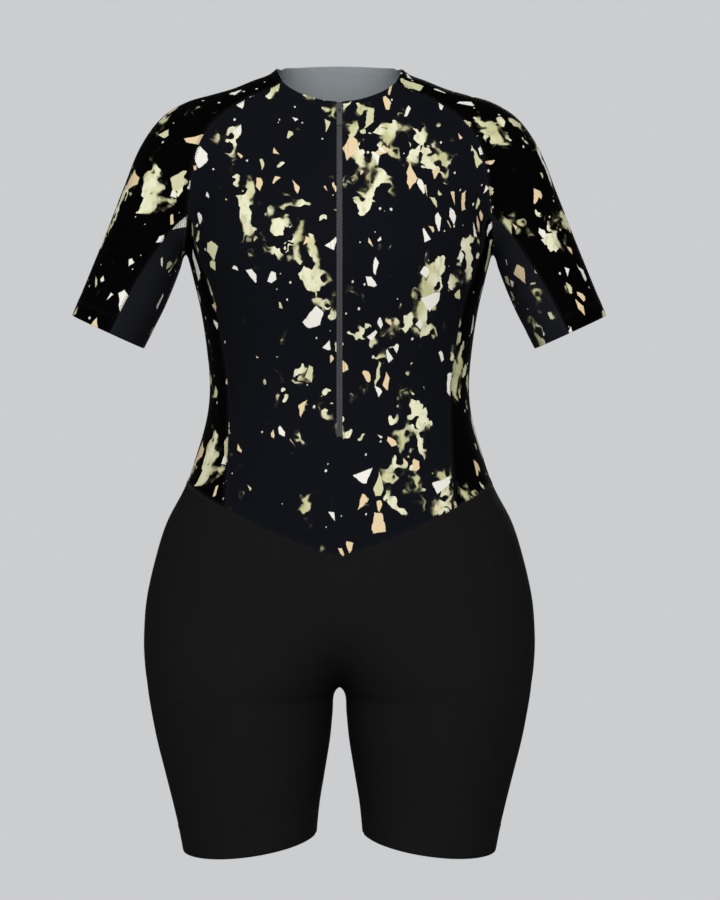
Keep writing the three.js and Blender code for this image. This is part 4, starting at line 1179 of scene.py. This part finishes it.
def zip_side(hand, turn, phase):
    centres = (np.arange(TURNS) + 0.5 + phase) * COIL_PITCH / zip_length
    xs, heights = np.array(COIL_SHAPE).T
    slant = np.linspace(0, 0.5, len(xs)) * COIL_PITCH / zip_length
    path = zip_place(centres[:, None] + slant[None], np.abs(xs)[None], heights[None])
    path[:, xs < 0, 0] *= -1
    coil = swept(f"zip_coil_{hand}", turn(round_wire(path, COIL_WIRE)), coil_material)
    xs, heights = np.array(TAPE_SHAPE).T
    rings = zip_place(np.linspace(0, 1, TAPE_ROWS)[:, None], xs[None], heights[None])
    rings = np.concatenate([rings, rings[-1:] + TAPE_TAIL])
    return coil, swept(f"zip_tape_{hand}", turn(rings[None]), tape_material)


zip_pieces = {
    hand: zip_side(hand, turn, phase)
    for (hand, turn), phase in zip(HANDS.items(), (0.0, 0.5))
}
zip_rim = sideways(front.body[: zip_foot + 1])
zip_stitches = [row(line, lift=0.1) for line in from_rim(zip_rim, ZIP_ROWS_AT)]
thread_zip = threads("thread_zip", zip_stitches, black_thread, ZIP_THREAD)

EDGE_ROUNDING = 0.16
for name in ("zip_slider", "zip_pull"):
    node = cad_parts[name]
    node.data.materials.clear()
    node.data.materials.append(metal)
    bevel = node.modifiers.new("rounded_edges", "BEVEL")
    bevel.width, bevel.segments, bevel.limit_method = EDGE_ROUNDING * MM, 2, "ANGLE"


def fitted(piece, node=None):
    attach(piece, "suit")
    if node:
        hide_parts(node)


for node, piece in pieces.items():
    fitted(piece, node)
for hand, (coil, tape) in zip_pieces.items():
    for piece in (tape, coil):
        fitted(piece, f"zip_{hand}")
for piece, slot in (
    (thread_body, "black_knit"), (thread_shorts, "shorts_knit"),
    (thread_waist, "shorts_knit"), (thread_zip, "printed_body_knit"),
):
    fitted(piece)

# Floor and backdrop: one pale shell all round, which glows evenly and casts nothing on the suit
BACKDROP = rgb(202, 203, 205)
BOWL_SIDES = 96
BOWL = (  # the shell's radius and height in metres, from its lowest point up
    (0.0, -3.4), (1.6, -3.4), (2.9, -3.2), (3.8, -2.5), (4.2, -1.4), (4.3, 0.0),
    (4.2, 1.4), (3.8, 2.5), (2.9, 3.2), (1.6, 3.4), (0.0, 3.4),
)
turns = [2 * math.pi * k / BOWL_SIDES for k in range(BOWL_SIDES)]
bowl_points = [
    (r * 1000 * math.cos(a), r * 1000 * math.sin(a), z * 1000) for r, z in BOWL for a in turns
]
bowl_faces = between_rings(0, len(BOWL), BOWL_SIDES)
paper = Surface("backdrop_paper", 1.0, 0.0)
grain = paper.node("TexNoise", {"Scale": 60.0, "Detail": 3.0})["Fac"]
paper.set("Normal", paper.bump(grain, 0.2))
paper.set("Base Color", (0.03, 0.03, 0.03, 1))
paper.set("Emission Color", BACKDROP)
paper.set("Emission Strength", 1.0)
bowl = make_object("floor_and_backdrop", bowl_points, bowl_faces, [paper.material])
bowl.visible_diffuse = bowl.visible_glossy = bowl.visible_shadow = False

scene = bpy.context.scene
world = bpy.data.worlds.new("studio")
world.use_nodes = True
world.node_tree.nodes["Background"].inputs["Color"].default_value = BACKDROP
world.node_tree.nodes["Background"].inputs["Strength"].default_value = 0.55
scene.world = world
scene.view_settings.view_transform = "Standard"
SUIT_MIDDLE = (0, 0, -0.42)


def softbox(name, place, size, power):
    light = bpy.data.lights.new(name, "AREA")
    light.shape, light.size, light.energy = "DISK", size, power
    obj = bpy.data.objects.new(name, light)
    obj.location = place
    aim = Vector(SUIT_MIDDLE) - obj.location
    obj.rotation_euler = aim.to_track_quat("-Z", "Y").to_euler()
    scene.collection.objects.link(obj)


softbox("front_softbox", (-0.1, -2.9, 0.7), 1.5, 73)
softbox("back_softbox", (0.5, 2.9, 0.6), 1.6, 52)

# The photograph's view
PHOTO_WIDTH, PHOTO_HEIGHT, SENSOR = 720, 900, 36
FOCAL, MIDDLE_X, MIDDLE_Y = 2500.0, 339.5, 395.0  # in pixels
camera = bpy.data.objects.new("camera", bpy.data.cameras.new("camera"))
camera.location = (0, -2.6, -0.3395)
aim = Vector(((PHOTO_WIDTH / 2 - MIDDLE_X) / FOCAL, 1, (MIDDLE_Y - PHOTO_HEIGHT / 2) / FOCAL))
camera.rotation_euler = aim.to_track_quat("-Z", "Y").to_euler()
camera.data.sensor_width = SENSOR
camera.data.lens = FOCAL * SENSOR / PHOTO_HEIGHT
camera.data.clip_end = 50
scene.collection.objects.link(camera)
scene.camera = camera
